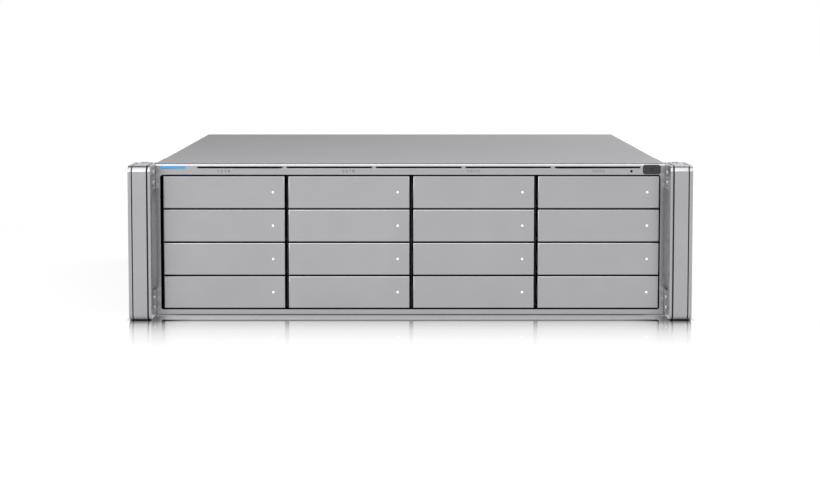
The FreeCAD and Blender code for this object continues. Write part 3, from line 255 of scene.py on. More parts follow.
def hand_over(piece, body, finish=None):
    """Smooth a finished piece, and say which body it moves with and which slot it is painted from."""
    choose(piece)
    bpy.ops.object.shade_smooth_by_angle(angle=SMOOTH_ANGLE)
    modify(piece, "WEIGHTED_NORMAL", keep_sharp=True)
    if finish:
        piece.data.materials.clear()
        piece.data.materials.append(finish)
    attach(piece, body)
    return piece


# %% [markdown]
# ## Finishes
#
# The front and the handles are bead-blasted alloy, the rack ears raw alloy and the case powder-coated
# sheet. The drive cage is a dark grey that is painted shade, so that the gaps between the tray faces
# read black; the handles' grooves, the hollow header and the sides of the tray faces are painted shade
# as well. Small things are plastic or plated steel. Each finish is a Principled shader whose colour,
# roughness and bump vary a little with noise on object coordinates. The grain of a blasted or coated
# surface is a few tenths of a millimetre, so the noise has thousands of cells to the metre. An image
# would do as well, but noise needs no unwrapping and has no seams.


# %% Finish helpers
CLOUD_ENDS = (0.3, 0.7)


def blank_finish(name, colour, metallic, roughness):
    """A material with one Principled shader, and its node tree."""
    made = bpy.data.materials.new(name)
    made.use_nodes = True
    shader = made.node_tree.nodes["Principled BSDF"]
    shader.inputs["Base Color"].default_value = (*colour, 1)
    shader.inputs["Metallic"].default_value = metallic
    shader.inputs["Roughness"].default_value = roughness
    return made, made.node_tree, shader


def spots(tree, coordinates="Object"):
    """Where each spot lies, in the named texture coordinates."""
    return tree.nodes.new("ShaderNodeTexCoord").outputs[coordinates]


def noise(tree, scale, detail=2.0, stretch=(1, 1, 1)):
    """Noise on object coordinates, in cells to the metre."""
    mapping = tree.nodes.new("ShaderNodeMapping")
    mapping.inputs["Scale"].default_value = stretch
    cloud = tree.nodes.new("ShaderNodeTexNoise")
    cloud.inputs["Scale"].default_value = scale
    cloud.inputs["Detail"].default_value = detail
    tree.links.new(spots(tree), mapping.inputs["Vector"])
    tree.links.new(mapping.outputs["Vector"], cloud.inputs["Vector"])
    return cloud.outputs["Fac"]


def run_colour(tree, source, socket, ends, colours):
    """Let a noise run a socket's colour from one to another, between two of its values."""
    ramp = tree.nodes.new("ShaderNodeValToRGB")
    for stop, spot, colour in zip(ramp.color_ramp.elements, ends, colours):
        stop.position = spot
        stop.color = (*colour, 1)
    tree.links.new(source, ramp.inputs["Fac"])
    tree.links.new(ramp.outputs["Color"], socket)


def vary_colour(tree, shader, source, colour, spread):
    """Let a noise lighten and darken a colour by a share."""
    shades = [[part * share for part in colour] for share in (1 - spread, 1 + spread)]
    run_colour(tree, source, shader.inputs["Base Color"], CLOUD_ENDS, shades)


def vary_roughness(tree, shader, source, low, high):
    """Let a noise run the roughness from low to high."""
    spread = tree.nodes.new("ShaderNodeMapRange")
    spread.inputs["To Min"].default_value = low
    spread.inputs["To Max"].default_value = high
    tree.links.new(source, spread.inputs["Value"])
    tree.links.new(spread.outputs["Result"], shader.inputs["Roughness"])


def grain(tree, shader, source, height, strength):
    """Let a noise raise the surface by a height in metres."""
    bump = tree.nodes.new("ShaderNodeBump")
    bump.inputs["Distance"].default_value = height
    bump.inputs["Strength"].default_value = strength
    tree.links.new(source, bump.inputs["Height"])
    tree.links.new(bump.outputs["Normal"], shader.inputs["Normal"])


# %% Metal finishes
def blasted_alloy():
    """Bead-blasted, clear-anodised alloy of the front frame, the tray faces and the handles."""
    colour = (0.4, 0.4, 0.414)
    made, tree, shader = blank_finish("blasted_alloy", colour, 0.85, 0.24)
    vary_colour(tree, shader, noise(tree, 35), colour, 0.02)
    beads = noise(tree, 2600, 1.0)
    vary_roughness(tree, shader, beads, 0.2, 0.28)
    grain(tree, shader, beads, 0.02 * MM, 0.12)
    return made


def raw_alloy():
    """Mill-finish alloy of the rack ears, lighter than the blasted front."""
    colour = (0.5, 0.5, 0.51)
    made, tree, shader = blank_finish("raw_alloy", colour, 0.6, 0.35)
    rolled = noise(tree, 400, 2.0, (1, 1, 12))
    vary_colour(tree, shader, rolled, colour, 0.03)
    vary_roughness(tree, shader, rolled, 0.3, 0.42)
    return made


def powder_coat(name, colour):
    """Satin powder coat on folded sheet, with a fine orange peel."""
    made, tree, shader = blank_finish(name, colour, 0.0, 0.65)
    shader.inputs["Specular IOR Level"].default_value = 0.1
    vary_colour(tree, shader, noise(tree, 22), colour, 0.015)
    peel = noise(tree, 1500, 1.0)
    vary_roughness(tree, shader, peel, 0.6, 0.7)
    grain(tree, shader, peel, 0.03 * MM, 0.2)
    return made


def zinc_sheet():
    """Zinc-plated sheet with its faint spangle."""
    colour = (0.42, 0.44, 0.45)
    made, tree, shader = blank_finish("zinc_sheet", colour, 1.0, 0.35)
    cells = tree.nodes.new("ShaderNodeTexVoronoi")
    cells.inputs["Scale"].default_value = 160
    tree.links.new(spots(tree), cells.inputs["Vector"])
    vary_colour(tree, shader, cells.outputs["Distance"], colour, 0.08)
    vary_roughness(tree, shader, noise(tree, 300), 0.28, 0.42)
    return made


def cast_alloy(name, colour, scale, metallic=0.8, low=0.35, high=0.55):
    """Cast or stamped metal with a coarse skin."""
    made, tree, shader = blank_finish(name, colour, metallic, low)
    skin = noise(tree, scale, 4.0)
    vary_colour(tree, shader, skin, colour, 0.06)
    vary_roughness(tree, shader, skin, low, high)
    grain(tree, shader, skin, 0.05 * MM, 0.3)
    return made


def bright_metal(name, colour, low, high):
    """Plated metal of screws, contacts and wire guards."""
    made, tree, shader = blank_finish(name, colour, 1.0, low)
    vary_roughness(tree, shader, noise(tree, 900), low, high)
    vary_colour(tree, shader, noise(tree, 120), colour, 0.04)
    return made


ALLOY = blasted_alloy()
RAW_ALLOY = raw_alloy()
COAT = powder_coat("case_coat", (0.349, 0.349, 0.358))
REAR_COAT = powder_coat("rear_coat", (0.4, 0.4, 0.41))
ZINC = zinc_sheet()
DRIVE_CASTING = cast_alloy("drive_casting", (0.32, 0.32, 0.33), 900)
DRIVE_LID = cast_alloy("drive_lid", (0.26, 0.26, 0.27), 300, metallic=0.5, low=0.5, high=0.62)
SINK_ALLOY = cast_alloy("sink_alloy", (0.45, 0.45, 0.46), 500)
SCREW = bright_metal("screw_plate", (0.36, 0.36, 0.37), low=0.3, high=0.42)
GOLD = bright_metal("contact_gold", (0.8, 0.55, 0.2), low=0.2, high=0.3)
SHELL = bright_metal("plated_shell", (0.55, 0.55, 0.56), low=0.25, high=0.4)
print("alloy, coat, zinc, castings and platings made")


# %% Plastic, paint and light finishes
def moulded(name, colour, low=0.45, high=0.6, shine=0.5):
    """Moulded plastic or dark paint with a spark-eroded texture."""
    made, tree, shader = blank_finish(name, colour, 0.0, low)
    shader.inputs["Specular IOR Level"].default_value = shine
    skin = noise(tree, 1800, 2.0)
    vary_colour(tree, shader, noise(tree, 60), colour, 0.06)
    vary_roughness(tree, shader, skin, low, high)
    grain(tree, shader, skin, 0.03 * MM, 0.3)
    return made


def circuit_board():
    """Green solder mask with the lines of the copper under it."""
    made, tree, shader = blank_finish("circuit_board", (0.015, 0.08, 0.04), 0.0, 0.35)
    bricks = tree.nodes.new("ShaderNodeTexBrick")
    bricks.inputs["Scale"].default_value = 60
    bricks.inputs["Color1"].default_value = (0.012, 0.075, 0.035, 1)
    bricks.inputs["Color2"].default_value = (0.018, 0.095, 0.05, 1)
    bricks.inputs["Mortar"].default_value = (0.03, 0.14, 0.07, 1)
    tree.links.new(spots(tree), bricks.inputs["Vector"])
    tree.links.new(bricks.outputs["Color"], shader.inputs["Base Color"])
    grain(tree, shader, bricks.outputs["Fac"], 0.03 * MM, 0.3)
    return made


DIMMEST = 0.9


def lit(name, base, colour, strength, scale):
    """A moulded light guide that glows, a little unevenly along its length."""
    made, tree, shader = blank_finish(name, base, 0.0, 0.35)
    shader.inputs["Emission Strength"].default_value = strength
    dimmer = [part * DIMMEST for part in colour]
    run_colour(tree, noise(tree, scale), shader.inputs["Emission Color"], (0, 1), (dimmer, colour))
    return made


BLACK = moulded("black_plastic", (0.018, 0.018, 0.019))
# Near-black: the own colour of the reset button and the print of the power mark, and painted shade in the
# front frame's hollow header and slit walls.
DARK_AND_SHADE = moulded("dark_and_painted_shade", (0.006, 0.006, 0.006), low=0.6, high=0.75, shine=0.05)
# Painted shade: the drive cage is dark so that the gaps between the tray faces read black.
CAGE_SHADE = moulded("cage_painted_shade", (0.12, 0.12, 0.123), low=0.5, high=0.65)
# Painted shade in the grooves of the handles.
GROOVE_SHADE = moulded("groove_painted_shade", (0.02, 0.02, 0.021), low=0.6, high=0.75)
# Painted shade on the sides of the tray faces, in the gaps between them.
LEVER_SIDE_SHADE = moulded("lever_side_shade", (0.06, 0.06, 0.062))
CARRIER = moulded("carrier_plastic", (0.03, 0.03, 0.032))
BUTTON = moulded("button_plastic", (0.028, 0.028, 0.029), low=0.45, high=0.55)
LATCH = moulded("latch_plastic", (0.03, 0.17, 0.09))
INK = moulded("print_ink", (0.06, 0.06, 0.065))
BOARD = circuit_board()
LAMP = lit("lamp_white", (0.6, 0.6, 0.6), (1, 1, 1), strength=0.9, scale=900)
BAR_LIGHT = lit("bar_blue", (0.02, 0.07, 0.14), (0.05, 0.33, 0.69), strength=1.0, scale=120)
print(len(bpy.data.materials), "materials")

# %% [markdown]
# ## Dress the parts that come ready made
#
# A part's own mesh is never changed, but its slots take any finish, and single faces may point at
# another slot. Some parts hold several solids, such as a tray with its carrier, drive and pin. The
# helper below finds a part's separate solids by walking from corner to corner.


# %% Solids inside a part
def solids_of(node):
    """The faces of each separate solid of a part, with the solid's corners."""
    mesh = nodes[node].data
    places = {}
    corner = [places.setdefault(tuple(round(c, 7) for c in v.co), len(places)) for v in mesh.vertices]
    leader = list(range(len(places)))

    def head(index):
        while leader[index] != index:
            leader[index] = leader[leader[index]]
            index = leader[index]
        return index

    for face in mesh.polygons:
        first = head(corner[face.vertices[0]])
        for vertex in face.vertices[1:]:
            leader[head(corner[vertex])] = first
    groups = {}
    for face in mesh.polygons:
        groups.setdefault(head(corner[face.vertices[0]]), []).append(face)
    found = []
    for faces in groups.values():
        points = [mesh.vertices[v].co for face in faces for v in face.vertices]
        low = Vector([min(p[axis] for p in points) for axis in range(3)])
        high = Vector([max(p[axis] for p in points) for axis in range(3)])
        found.append((faces, low, high))
    return found


def paint(node, *finishes):
    """Give a part its finishes; faces point at the first until they are set otherwise."""
    slots = nodes[node].data.materials
    slots.clear()
    for finish in finishes:
        slots.append(finish)
    for face in nodes[node].data.polygons:
        face.material_index = 0


print("the first tray has", len(solids_of("drive_tray_01")), "solids")

# %% Finishes of the plain parts
PLAIN = {
    "top_cover": COAT, "base_pan": COAT, "rack_ear_left": RAW_ALLOY, "rack_ear_right": RAW_ALLOY,
    "rear_panel": REAR_COAT, "cage_walls": CAGE_SHADE, "fan_bracket": ZINC, "psu_bay": ZINC,
    "backplane_board": BOARD, "main_board": BOARD, "backplane_connectors": BLACK,
    "fan_frames": BLACK, "fan_rotor_1": BLACK, "fan_rotor_2": BLACK, "fan_rotor_3": BLACK,
    "heat_sink": SINK_ALLOY, "network_ports": SHELL, "power_button": BUTTON,
    "reset_button": DARK_AND_SHADE, "light_bar": BAR_LIGHT, "handle_left": ALLOY, "handle_right": ALLOY,
    "case_screws": SCREW, "psu_latch_1": LATCH, "psu_latch_2": LATCH,
}
for part_name, part_finish in PLAIN.items():
    paint(part_name, part_finish)
print(len(PLAIN), "plain parts painted")

# %% [markdown]
# The front frame is blasted alloy outside. Its hollow header and the walls of the slits are painted
# shade, near-black, so that the slits read as black lines. A tray is a dark carrier with a drive of cast
# metal, whose underside is its circuit board. A tray's face is alloy with a small white lamp, and its
# sides behind a thin front rim are painted shade for the gaps between the faces.

# %% Front frame
SLIT_LOW = LID_TOP - 6 * MM
SLIT_HIGH = LID_TOP - 3 * MM
SLIT_WALL = 0.2 * MM
HEADER_INSIDE = 2.4 * MM
SIDE_RIM = 1 * MM
SIDEWAYS = 0.5


def in_painted_shade(face):
    """Whether a front-frame face is a slit wall or lies behind the panel, and so gets painted shade."""
    spot = face.center
    behind = spot.y - PANEL
    slit_wall = SLIT_LOW < spot.z < SLIT_HIGH and abs(face.normal.y) < SIDEWAYS and behind > SLIT_WALL
    return slit_wall or behind > HEADER_INSIDE and abs(spot.x) < case_high.x - SIDE_RIM


# Faces in the hollow header and on the slit walls get painted shade.
paint("front_frame", ALLOY, DARK_AND_SHADE)
for face in nodes["front_frame"].data.polygons:
    face.material_index = int(in_painted_shade(face))
print(sum(map(in_painted_shade, nodes["front_frame"].data.polygons)), "dark faces in the front frame")

# %% Trays and their faces
DRIVE_HEIGHT = 25 * MM
SMALL_SOLID = 5 * MM
FACE_SHADE_SETBACK = 0.6 * MM
for number in TRAYS:
    paint(f"drive_tray_{number}", CARRIER, DRIVE_CASTING, SCREW, BOARD)
    for faces, low, high in solids_of(f"drive_tray_{number}"):
        size = high - low
        pin = size.x < SMALL_SOLID
        drive = size.z > DRIVE_HEIGHT
        for face in faces:
            board = drive and face.normal.z < -FACING
            face.material_index = 3 if board else 2 if pin else 1 if drive else 0
    # A tray face is alloy in front, with a lit lens, and painted shade on its sides further back than a
    # thin rim.
    paint(f"tray_lever_{number}", ALLOY, LAMP, LEVER_SIDE_SHADE)
    for faces, low, high in solids_of(f"tray_lever_{number}"):
        lens = (high - low).x < SMALL_SOLID
        for face in faces:
            face.material_index = 1 if lens else 2 if face.center.y > PANEL + FACE_SHADE_SETBACK else 0
print(len(TRAYS), "trays and faces painted")

# %% [markdown]
# A supply is a plated box. The mains inlet is black inside with bright blades, and the round recess
# and the latch's slot are dark.

# %% Power supplies
PSU_LENGTH = 185 * MM
PSU_PLUG = 5 * MM
PSU_RIM = 3 * MM
LATCH_RIM = 1 * MM
FLUSH = 0.05 * MM
INLET_MIDDLE = Vector((20, 0, 20)) * MM
INLET_HALF = Vector((12.1, 0, 8.1)) * MM
BLADE_HALF = Vector((1.1, 0, 2.1)) * MM
BLADES = [Vector(spot) * MM for spot in ((-7, 0, -3.5), (0, 0, 3.5), (7, 0, -3.5))]


def inside(point, middle, half):
    return abs(point.x - middle.x) < half.x and abs(point.z - middle.z) < half.z


for number in ("1", "2"):
    paint(f"psu_{number}", SHELL, BLACK, GOLD)
    low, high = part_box(f"psu_{number}")
    rear = low.y + PSU_LENGTH
    inlet = low + INLET_MIDDLE
    for face in nodes[f"psu_{number}"].data.polygons:
        spot = face.center
        sunk = low.y + PSU_PLUG < spot.y < rear - FLUSH and low.z + PSU_RIM < spot.z < high.z - PSU_RIM
        if sunk and low.x + PSU_RIM < spot.x < high.x - LATCH_RIM:
            face.material_index = 1
            if any(inside(spot, inlet + blade, BLADE_HALF) for blade in BLADES):
                face.material_index = 2
        if spot.y > rear + FLUSH:
            face.material_index = 1
print("supplies painted")

# %% [markdown]
# ## Broken edges
#
# No real edge is razor sharp. Folded sheet has a bend and machined alloy is deburred, and both catch a
# thin line of light. The ready-made meshes are left as they are, so each part whose edges show is
# copied. The copy's loose triangles are merged into a skin, flat triangles are dissolved into whole
# faces, and the long outer edges are bevelled. The copy then stands in for the part on the same body.

# %% Broken edges
LONG_EDGE = 4 * MM
FLAT_ANGLE = math.radians(0.5)
EDGE_BREAKS = [
    (0.25 * MM, ["front_frame", "rear_panel"]),
    (0.3 * MM, ["top_cover", "base_pan"]),
    (0.4 * MM, ["rack_ear_left", "rack_ear_right"]),
    (0.3 * MM, ["psu_1", "psu_2"] + [f"tray_lever_{number}" for number in TRAYS]),
]
bodies = frame["record"]["behaviour"]["bodies"]
body_of = {node: body for body, members in bodies.items() for node in members}


def outer_edge(edge):
    """Whether an edge is long, sharp and on the outside of its part."""
    long = len(edge.link_faces) == 2 and edge.calc_length() > LONG_EDGE
    return long and edge.calc_face_angle_signed() > SHARP


def break_edges(node, width):
    """A copy of a part with its long outer edges bevelled, which stands in for the part."""
    made = bpy.data.objects.new(f"{node}_deburred", nodes[node].data.copy())
    bpy.context.scene.collection.objects.link(made)
    pick(made, "FACE", lambda face: True)
    bpy.ops.mesh.customdata_custom_splitnormals_clear()
    bpy.ops.mesh.remove_doubles(threshold=TOUCH)
    bpy.ops.mesh.dissolve_limited(angle_limit=FLAT_ANGLE, delimit={"MATERIAL"})
    done()
    round_off(made, outer_edge, width, 2)
    hand_over(made, body_of[node])
    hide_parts(node)
    return made


for width, parts in EDGE_BREAKS:
    softened = [break_edges(part, width) for part in parts]
    print(len(softened), "parts with edges broken by", round(width / MM, 2), "mm")

# %% [markdown]
# ## Handles
#
# A handle is an arched bar of alloy between two cheek plates, with a narrow groove on each side of the
# bar whose floor and walls are painted shade. In side view it is a lower leg, an upright grip and an
# upper leg, so it can be pulled out of one cube: back for the lower leg, up for the grip, up again and
# back for the upper leg. The corners are then rounded. The bar starts at the depth of its grooves, is
# cut along both of them, and its middle band is swollen out to the full size.

# %% Handle sizes
OUTER_CHEEK = 2.95 * MM
INNER_CHEEK = 2.3 * MM
OUTER_GROOVE = 0.8 * MM
INNER_GROOVE = 1.2 * MM
GROOVE_DEPTH = 1.6 * MM
GRIP = 13 * MM
LEG = 22 * MM
HANDLE_CORNER = 5.6 * MM
HANDLE_STEPS = 12
GAP_CORNER = 5 * MM
GAP_STEPS = 8
CHEEK_EDGE = 0.3 * MM
CORE_EDGE = 0.4 * MM
print("the handles reach", round((PANEL - cad_bounds[0].y) / MM, 1), "mm in front of the panel")


# %% The arch of a handle
def corner_edges(y, heights):
    """A test for the edges that run across the handle at one depth and at either height."""
    def wanted(edge):
        spot = centre(edge)
        return runs_along(edge, 0) and near(spot.y, y) and any(near(spot.z, z) for z in heights)
    return wanted


def arch(name, left, right, low, high, inset):
    """The arch between two side planes, with its outer outline set in."""
    front, bottom, top = low.y + inset, low.z + inset, high.z - inset
    gap_front, gap_low, gap_high = low.y + GRIP, low.z + LEG, high.z - LEG
    back = (0, high.y - gap_front, 0)
    made = block(name, (left, front, bottom), (right, gap_front, gap_low))
    pull(made, lambda face: face.normal.y > FACING, back)
    pull(made, lambda face: face.normal.z > FACING and centre(face).y < gap_front,
         (0, 0, gap_high - gap_low))
    pull(made, lambda face: face.normal.z > FACING and centre(face).z > gap_low + TOUCH,
         (0, 0, top - gap_high))
    pull(made, lambda face: face.normal.y > FACING and centre(face).z > gap_high, back)
    round_off(made, corner_edges(front, (bottom, top)), HANDLE_CORNER - inset, HANDLE_STEPS)
    round_off(made, corner_edges(gap_front, (gap_low, gap_high)), GAP_CORNER, GAP_STEPS)
    return made


# %% Handles
def handle_core(name, sides, band, low, high):
    """The bar: an arch at groove depth whose middle band is swollen to the full outline."""
    band_left, band_right = band
    core = arch(name, *sides, low, high, GROOVE_DEPTH)
    slice_at(core, 0, band)

    def outline(face):
        spot = centre(face)
        in_band = band_left < spot.x < band_right and abs(face.normal.x) < SIDEWAYS
        ends = min(abs(spot.z - low.z - GROOVE_DEPTH), abs(high.z - GROOVE_DEPTH - spot.z)) < TOUCH
        return in_band and (ends or spot.y < low.y + HANDLE_CORNER) and spot.y < high.y - TOUCH

    pick(core, "FACE", outline)
    bpy.ops.mesh.extrude_region_shrink_fatten(
        TRANSFORM_OT_shrink_fatten={"value": GROOVE_DEPTH, "use_even_offset": True})
    done()
    # The floor of each groove and the walls beside the band get painted shade.
    core.data.materials.append(ALLOY)
    core.data.materials.append(GROOVE_SHADE)
    full = HANDLE_CORNER + GROOVE_DEPTH
    for face in core.data.polygons:
        spot = face.center
        beside = not band_left - TOUCH < spot.x < band_right + TOUCH
        wall = abs(face.normal.x) > FACING and (near(spot.x, band_left) or near(spot.x, band_right))
        face.material_index = int(beside and abs(face.normal.x) < FACING and spot.y < high.y - full or wall)
    return core


for side in ("left", "right"):
    low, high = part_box(f"handle_{side}")
    borders = [(OUTER_CHEEK, OUTER_GROOVE), (INNER_CHEEK, INNER_GROOVE)]
    if side == "right":
        borders.reverse()
    (left_cheek, left_groove), (right_cheek, right_groove) = borders
    left, right = low.x + left_cheek, high.x - right_cheek
    band = (left + left_groove, right - right_groove)
    core = handle_core(f"handle_core_{side}", (left, right), band, low, high)
    modify(core, "BEVEL", width=CORE_EDGE, segments=2, limit_method="ANGLE", angle_limit=SHARP)
    cheeks = [arch(f"cheek_{side}_a", low.x, left, low, high, 0),
              arch(f"cheek_{side}_b", right, high.x, low, high, 0)]
    for cheek in cheeks:
        modify(cheek, "BEVEL", width=CHEEK_EDGE, segments=3, limit_method="ANGLE", angle_limit=SHARP)
        cheek.data.materials.append(ALLOY)
    handle = hand_over(join(f"grip_handle_{side}", [core, *cheeks]), "chassis")
    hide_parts(f"handle_{side}")
    print(handle.name, [round(edge / MM, 2) for edge in handle.dimensions])

# %% [markdown]
# ## Screws
#
# Every screw is a low round head with a hexagon socket. The places come from the screws of the frame:
# a screw's box is square across its axis, and its head is at the end where its corners lie furthest
# from that axis. One screw of each size is modelled upright at the origin: a disc whose underside is
# inset and drawn out into the shank, whose rim is rounded, and which has a hexagon cut into it. Copies
# are turned to their places.


# %% Screws
SOCKET_SHARE = 0.52
SOCKET_DEPTH = 0.65
RIM_SHARE = 0.45
HEAD_CORNERS = 32
HEAD_REACH = 0.9
AXIS_NEAR = 0.3 * MM


def screw_pattern(head, rise, shank, length):
    """An upright screw with its seat at the origin."""
    made = disc("screw_pattern", (0, 0, rise / 2), head, rise, "z", HEAD_CORNERS)
    pick(made, "FACE", lambda face: face.normal.z < -FACING)
    bpy.ops.mesh.inset(thickness=head - shank, depth=0)
    bpy.ops.mesh.extrude_region_move(TRANSFORM_OT_translate={"value": (0, 0, -length)})
    done()

    def rim(edge):
        return near(centre(edge).z, rise) and not runs_along(edge, 2)

    round_off(made, rim, rise * RIM_SHARE, 3)
    key = disc("socket_tool", (0, 0, rise), head * SOCKET_SHARE, 2 * rise * SOCKET_DEPTH, "z", 6)
    modify(made, "BOOLEAN", object=key, operation="DIFFERENCE")
    drop(key)
    return made


def measure_screw(low, high, points):
    """Where a screw of the frame seats, which way its head points, and its sizes."""
    size = high - low
    across = sorted(size)[1]
    axis = max(range(3), key=lambda index: abs(size[index] - across))
    middle = (low + high) / 2
    head = across / 2

    def reach(point):
        away = point - middle
        away[axis] = 0
        return away.length

    rim = [point[axis] for point in points if reach(point) > head * HEAD_REACH]
    shank = min(reach(point) for point in points if reach(point) > AXIS_NEAR)
    outward = 1 if sum(rim) / len(rim) > middle[axis] else -1
    seat = middle.copy()
    seat[axis] = min(rim) if outward > 0 else max(rim)
    points_to = Vector()
    points_to[axis] = outward
    rise = max(rim) - min(rim)
    return seat, points_to, tuple(round(part, 5) for part in (head, rise, shank, size[axis] - rise))


patterns = {}
screws = []
for faces, low, high in solids_of("case_screws"):
    mesh = nodes["case_screws"].data
    points = [mesh.vertices[vertex].co.copy() for face in faces for vertex in face.vertices]
    seat, points_to, sizes = measure_screw(low, high, points)
    if sizes not in patterns:
        patterns[sizes] = screw_pattern(*sizes)
    screws.append(copy_of(patterns[sizes], "screw", seat, points_to))
for pattern in patterns.values():
    drop(pattern)
screw_set = hand_over(join("socket_screws", screws), "chassis", SCREW)
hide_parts("case_screws")
print(len(screws), "screws of", len(patterns), "sizes")

# %% [markdown]
# ## Marks on the front
#
# Above each column stand the numbers of its bays, and the button carries the usual on and off mark: a
# ring that is open at the top, with a stroke in the opening. Numbers start as text, which is turned
# into a mesh. The ring is a small rectangle spun round the middle of the mark.

# %% Marks
MARK_DEPTH = 0.02 * MM
NUMBER_HEIGHT = 2.3 * MM
NUMBER_DROP = 7.0 * MM
NUMBER_WIDTH = 10.5 * MM
CAP_SHARE = 0.7
RING_RADIUS = 1.5 * MM
RING_OPENING = math.radians(70)
RING_STEPS = 28
RING_WELD = 0.001 * MM
STROKE_WIDTH = 0.34 * MM
STROKE_LOW = 0.3 * MM
STROKE_HIGH = 1.9 * MM
STROKE_ROUND = 0.1 * MM


def number_mark(name, words, middle):
    """Raised text that faces the front, as a mesh."""
    clear_selection()
    bpy.ops.object.text_add(location=middle, rotation=(math.pi / 2, 0, 0))
    made = bpy.context.object
    made.name = name
    made.data.body = words
    made.data.size = NUMBER_HEIGHT / CAP_SHARE
    made.data.align_x = "CENTER"
    made.data.align_y = "CENTER"
    made.data.extrude = MARK_DEPTH
    bpy.ops.object.convert(target="MESH")
    made = apply_place(bpy.context.object)
    pick(made, "FACE", lambda face: True)
    bpy.ops.transform.resize(value=(NUMBER_WIDTH / made.dimensions.x, 1, 1), center_override=middle)
    done()
    return made


def ring_mark(name, middle, radius, width, opening):
    """Part of a flat ring that faces the front, open at the top."""
    clear_selection()
    turn = opening / 2
    start = Vector(middle) + Vector((math.sin(turn), 0, math.cos(turn))) * radius
    bpy.ops.mesh.primitive_plane_add(size=1, location=start, rotation=(0, math.pi / 2 + turn, 0))
    made = bpy.context.object
    made.name = name
    made.scale = (width, 2 * MARK_DEPTH, 1)
    apply_place(made)
    pick(made, "FACE", lambda face: True)
    bpy.ops.mesh.spin(steps=RING_STEPS, angle=2 * math.pi - opening, center=middle, axis=(0, -1, 0))
    bpy.ops.mesh.select_all(action="SELECT")
    bpy.ops.mesh.remove_doubles(threshold=RING_WELD)
    bpy.ops.mesh.normals_make_consistent(inside=False)
    done()
    return made


for column in range(4):
    low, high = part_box(f"tray_lever_{TRAYS[4 * column]}")
    bays = range(4 * column + 1, 4 * column + 5)
    spot = ((low.x + high.x) / 2, PANEL, LID_TOP - NUMBER_DROP)
    mark = number_mark(f"bay_numbers_{column + 1}", " ".join(map(str, bays)), spot)
    hand_over(mark, "chassis", INK)

low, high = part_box("power_button")
middle = Vector(((low.x + high.x) / 2, low.y, (low.z + high.z) / 2))
stroke = block("power_stroke", middle + Vector((-STROKE_WIDTH / 2, -MARK_DEPTH, STROKE_LOW)),
               middle + Vector((STROKE_WIDTH / 2, MARK_DEPTH, STROKE_HIGH)))
round_off(stroke, lambda edge: runs_along(edge, 1), STROKE_ROUND, 2)
ring = ring_mark("power_ring", middle, RING_RADIUS, STROKE_WIDTH, RING_OPENING)
hand_over(join("power_mark", [ring, stroke]), "power_button", DARK_AND_SHADE)
print("front marks made")

# %% [markdown]
# ## Drive lids
#
# A drive's cast body is closed by a stamped steel lid. It is a thin plate with rounded corners and a
# shallow pressed field, modelled for the first tray and copied to the other fifteen.

# %% Drive lids
LID_THICKNESS = 0.2 * MM
LID_MARGIN = 1.5 * MM
LID_CORNER = 8 * MM
FIELD_BORDER = 5 * MM
FIELD_DEPTH = 0.12 * MM


def drive_box(number):
    """The corners of the drive in a tray."""
    boxes = [(low, high) for _, low, high in solids_of(f"drive_tray_{number}")]
    return next((low, high) for low, high in boxes if (high - low).z > DRIVE_HEIGHT)


low, high = drive_box(TRAYS[0])
lid = block("lid_pattern", (low.x + LID_MARGIN, low.y + LID_MARGIN, high.z),
            (high.x - LID_MARGIN, high.y - LID_MARGIN, high.z + LID_THICKNESS))
round_off(lid, lambda edge: runs_along(edge, 2), LID_CORNER, 5)
sink(lid, lambda face: face.normal.z > FACING, FIELD_BORDER, FIELD_DEPTH)
for number in TRAYS:
    twin = copy_of(lid, f"drive_lid_{number}", drive_box(number)[0] - low)
    hand_over(twin, f"tray_{number}", DRIVE_LID)
drop(lid)
print(len(TRAYS), "drive lids")

# %% [markdown]
# ## Fittings at the back
#
# Each supply has a moulded flange round its mains inlet and a wire guard over its air outlet. The guard
# is three rings of wire on two bars. The network jack and the two optical cages are folded shells: a
# block is sliced round its mouth, and the face in the middle is pushed in.

# %% Supply fittings
FLANGE_BORDER = 2.6 * MM
FLANGE_RISE = 1.0 * MM
FLANGE_CORNER = 2.2 * MM
FLANGE_EDGE = 0.25 * MM
GUARD_MIDDLE = Vector((55.5, 0, 20)) * MM
GUARD_RINGS = [3.4 * MM, 6.8 * MM, 10.2 * MM]
GUARD_WIRE = 0.55 * MM
GUARD_LIFT = 1.6 * GUARD_WIRE
GUARD_END = 0.25 * MM


def inlet_flange(name, middle, rear):
    """A moulded frame round the inlet's mouth, with rounded corners."""
    half_x, half_z = INLET_HALF.x + FLANGE_BORDER, INLET_HALF.z + FLANGE_BORDER
    made = block(name, (middle.x - half_x, rear, middle.z - half_z),
                 (middle.x + half_x, rear + FLANGE_RISE, middle.z + half_z))
    round_off(made, lambda edge: runs_along(edge, 1), FLANGE_CORNER, 4)
    mouth = block("mouth_tool", (middle.x - INLET_HALF.x, rear - FLANGE_RISE, middle.z - INLET_HALF.z),
                  (middle.x + INLET_HALF.x, rear + 3 * FLANGE_RISE, middle.z + INLET_HALF.z))
    modify(made, "BOOLEAN", object=mouth, operation="DIFFERENCE")
    drop(mouth)
    modify(made, "BEVEL", width=FLANGE_EDGE, segments=2, limit_method="ANGLE", angle_limit=SHARP)
    return made


def wire_guard(name, middle):
    """Rings of wire on two crossed bars with rounded ends."""
    wires = []
    for radius in GUARD_RINGS:
        clear_selection()
        bpy.ops.mesh.primitive_torus_add(location=middle, rotation=(math.pi / 2, 0, 0), major_radius=radius,
                                         minor_radius=GUARD_WIRE, major_segments=40, minor_segments=8)
        wires.append(apply_place(bpy.context.object))
    for axis in ("x", "z"):
        below = middle - Vector((0, GUARD_WIRE, 0))
        bar = disc("guard_bar", below, GUARD_WIRE, 2 * GUARD_RINGS[-1], axis, 10)
        round_off(bar, lambda edge: not runs_along(edge, "xyz".index(axis)), GUARD_END, 2)
        wires.append(bar)
    return join(name, wires)


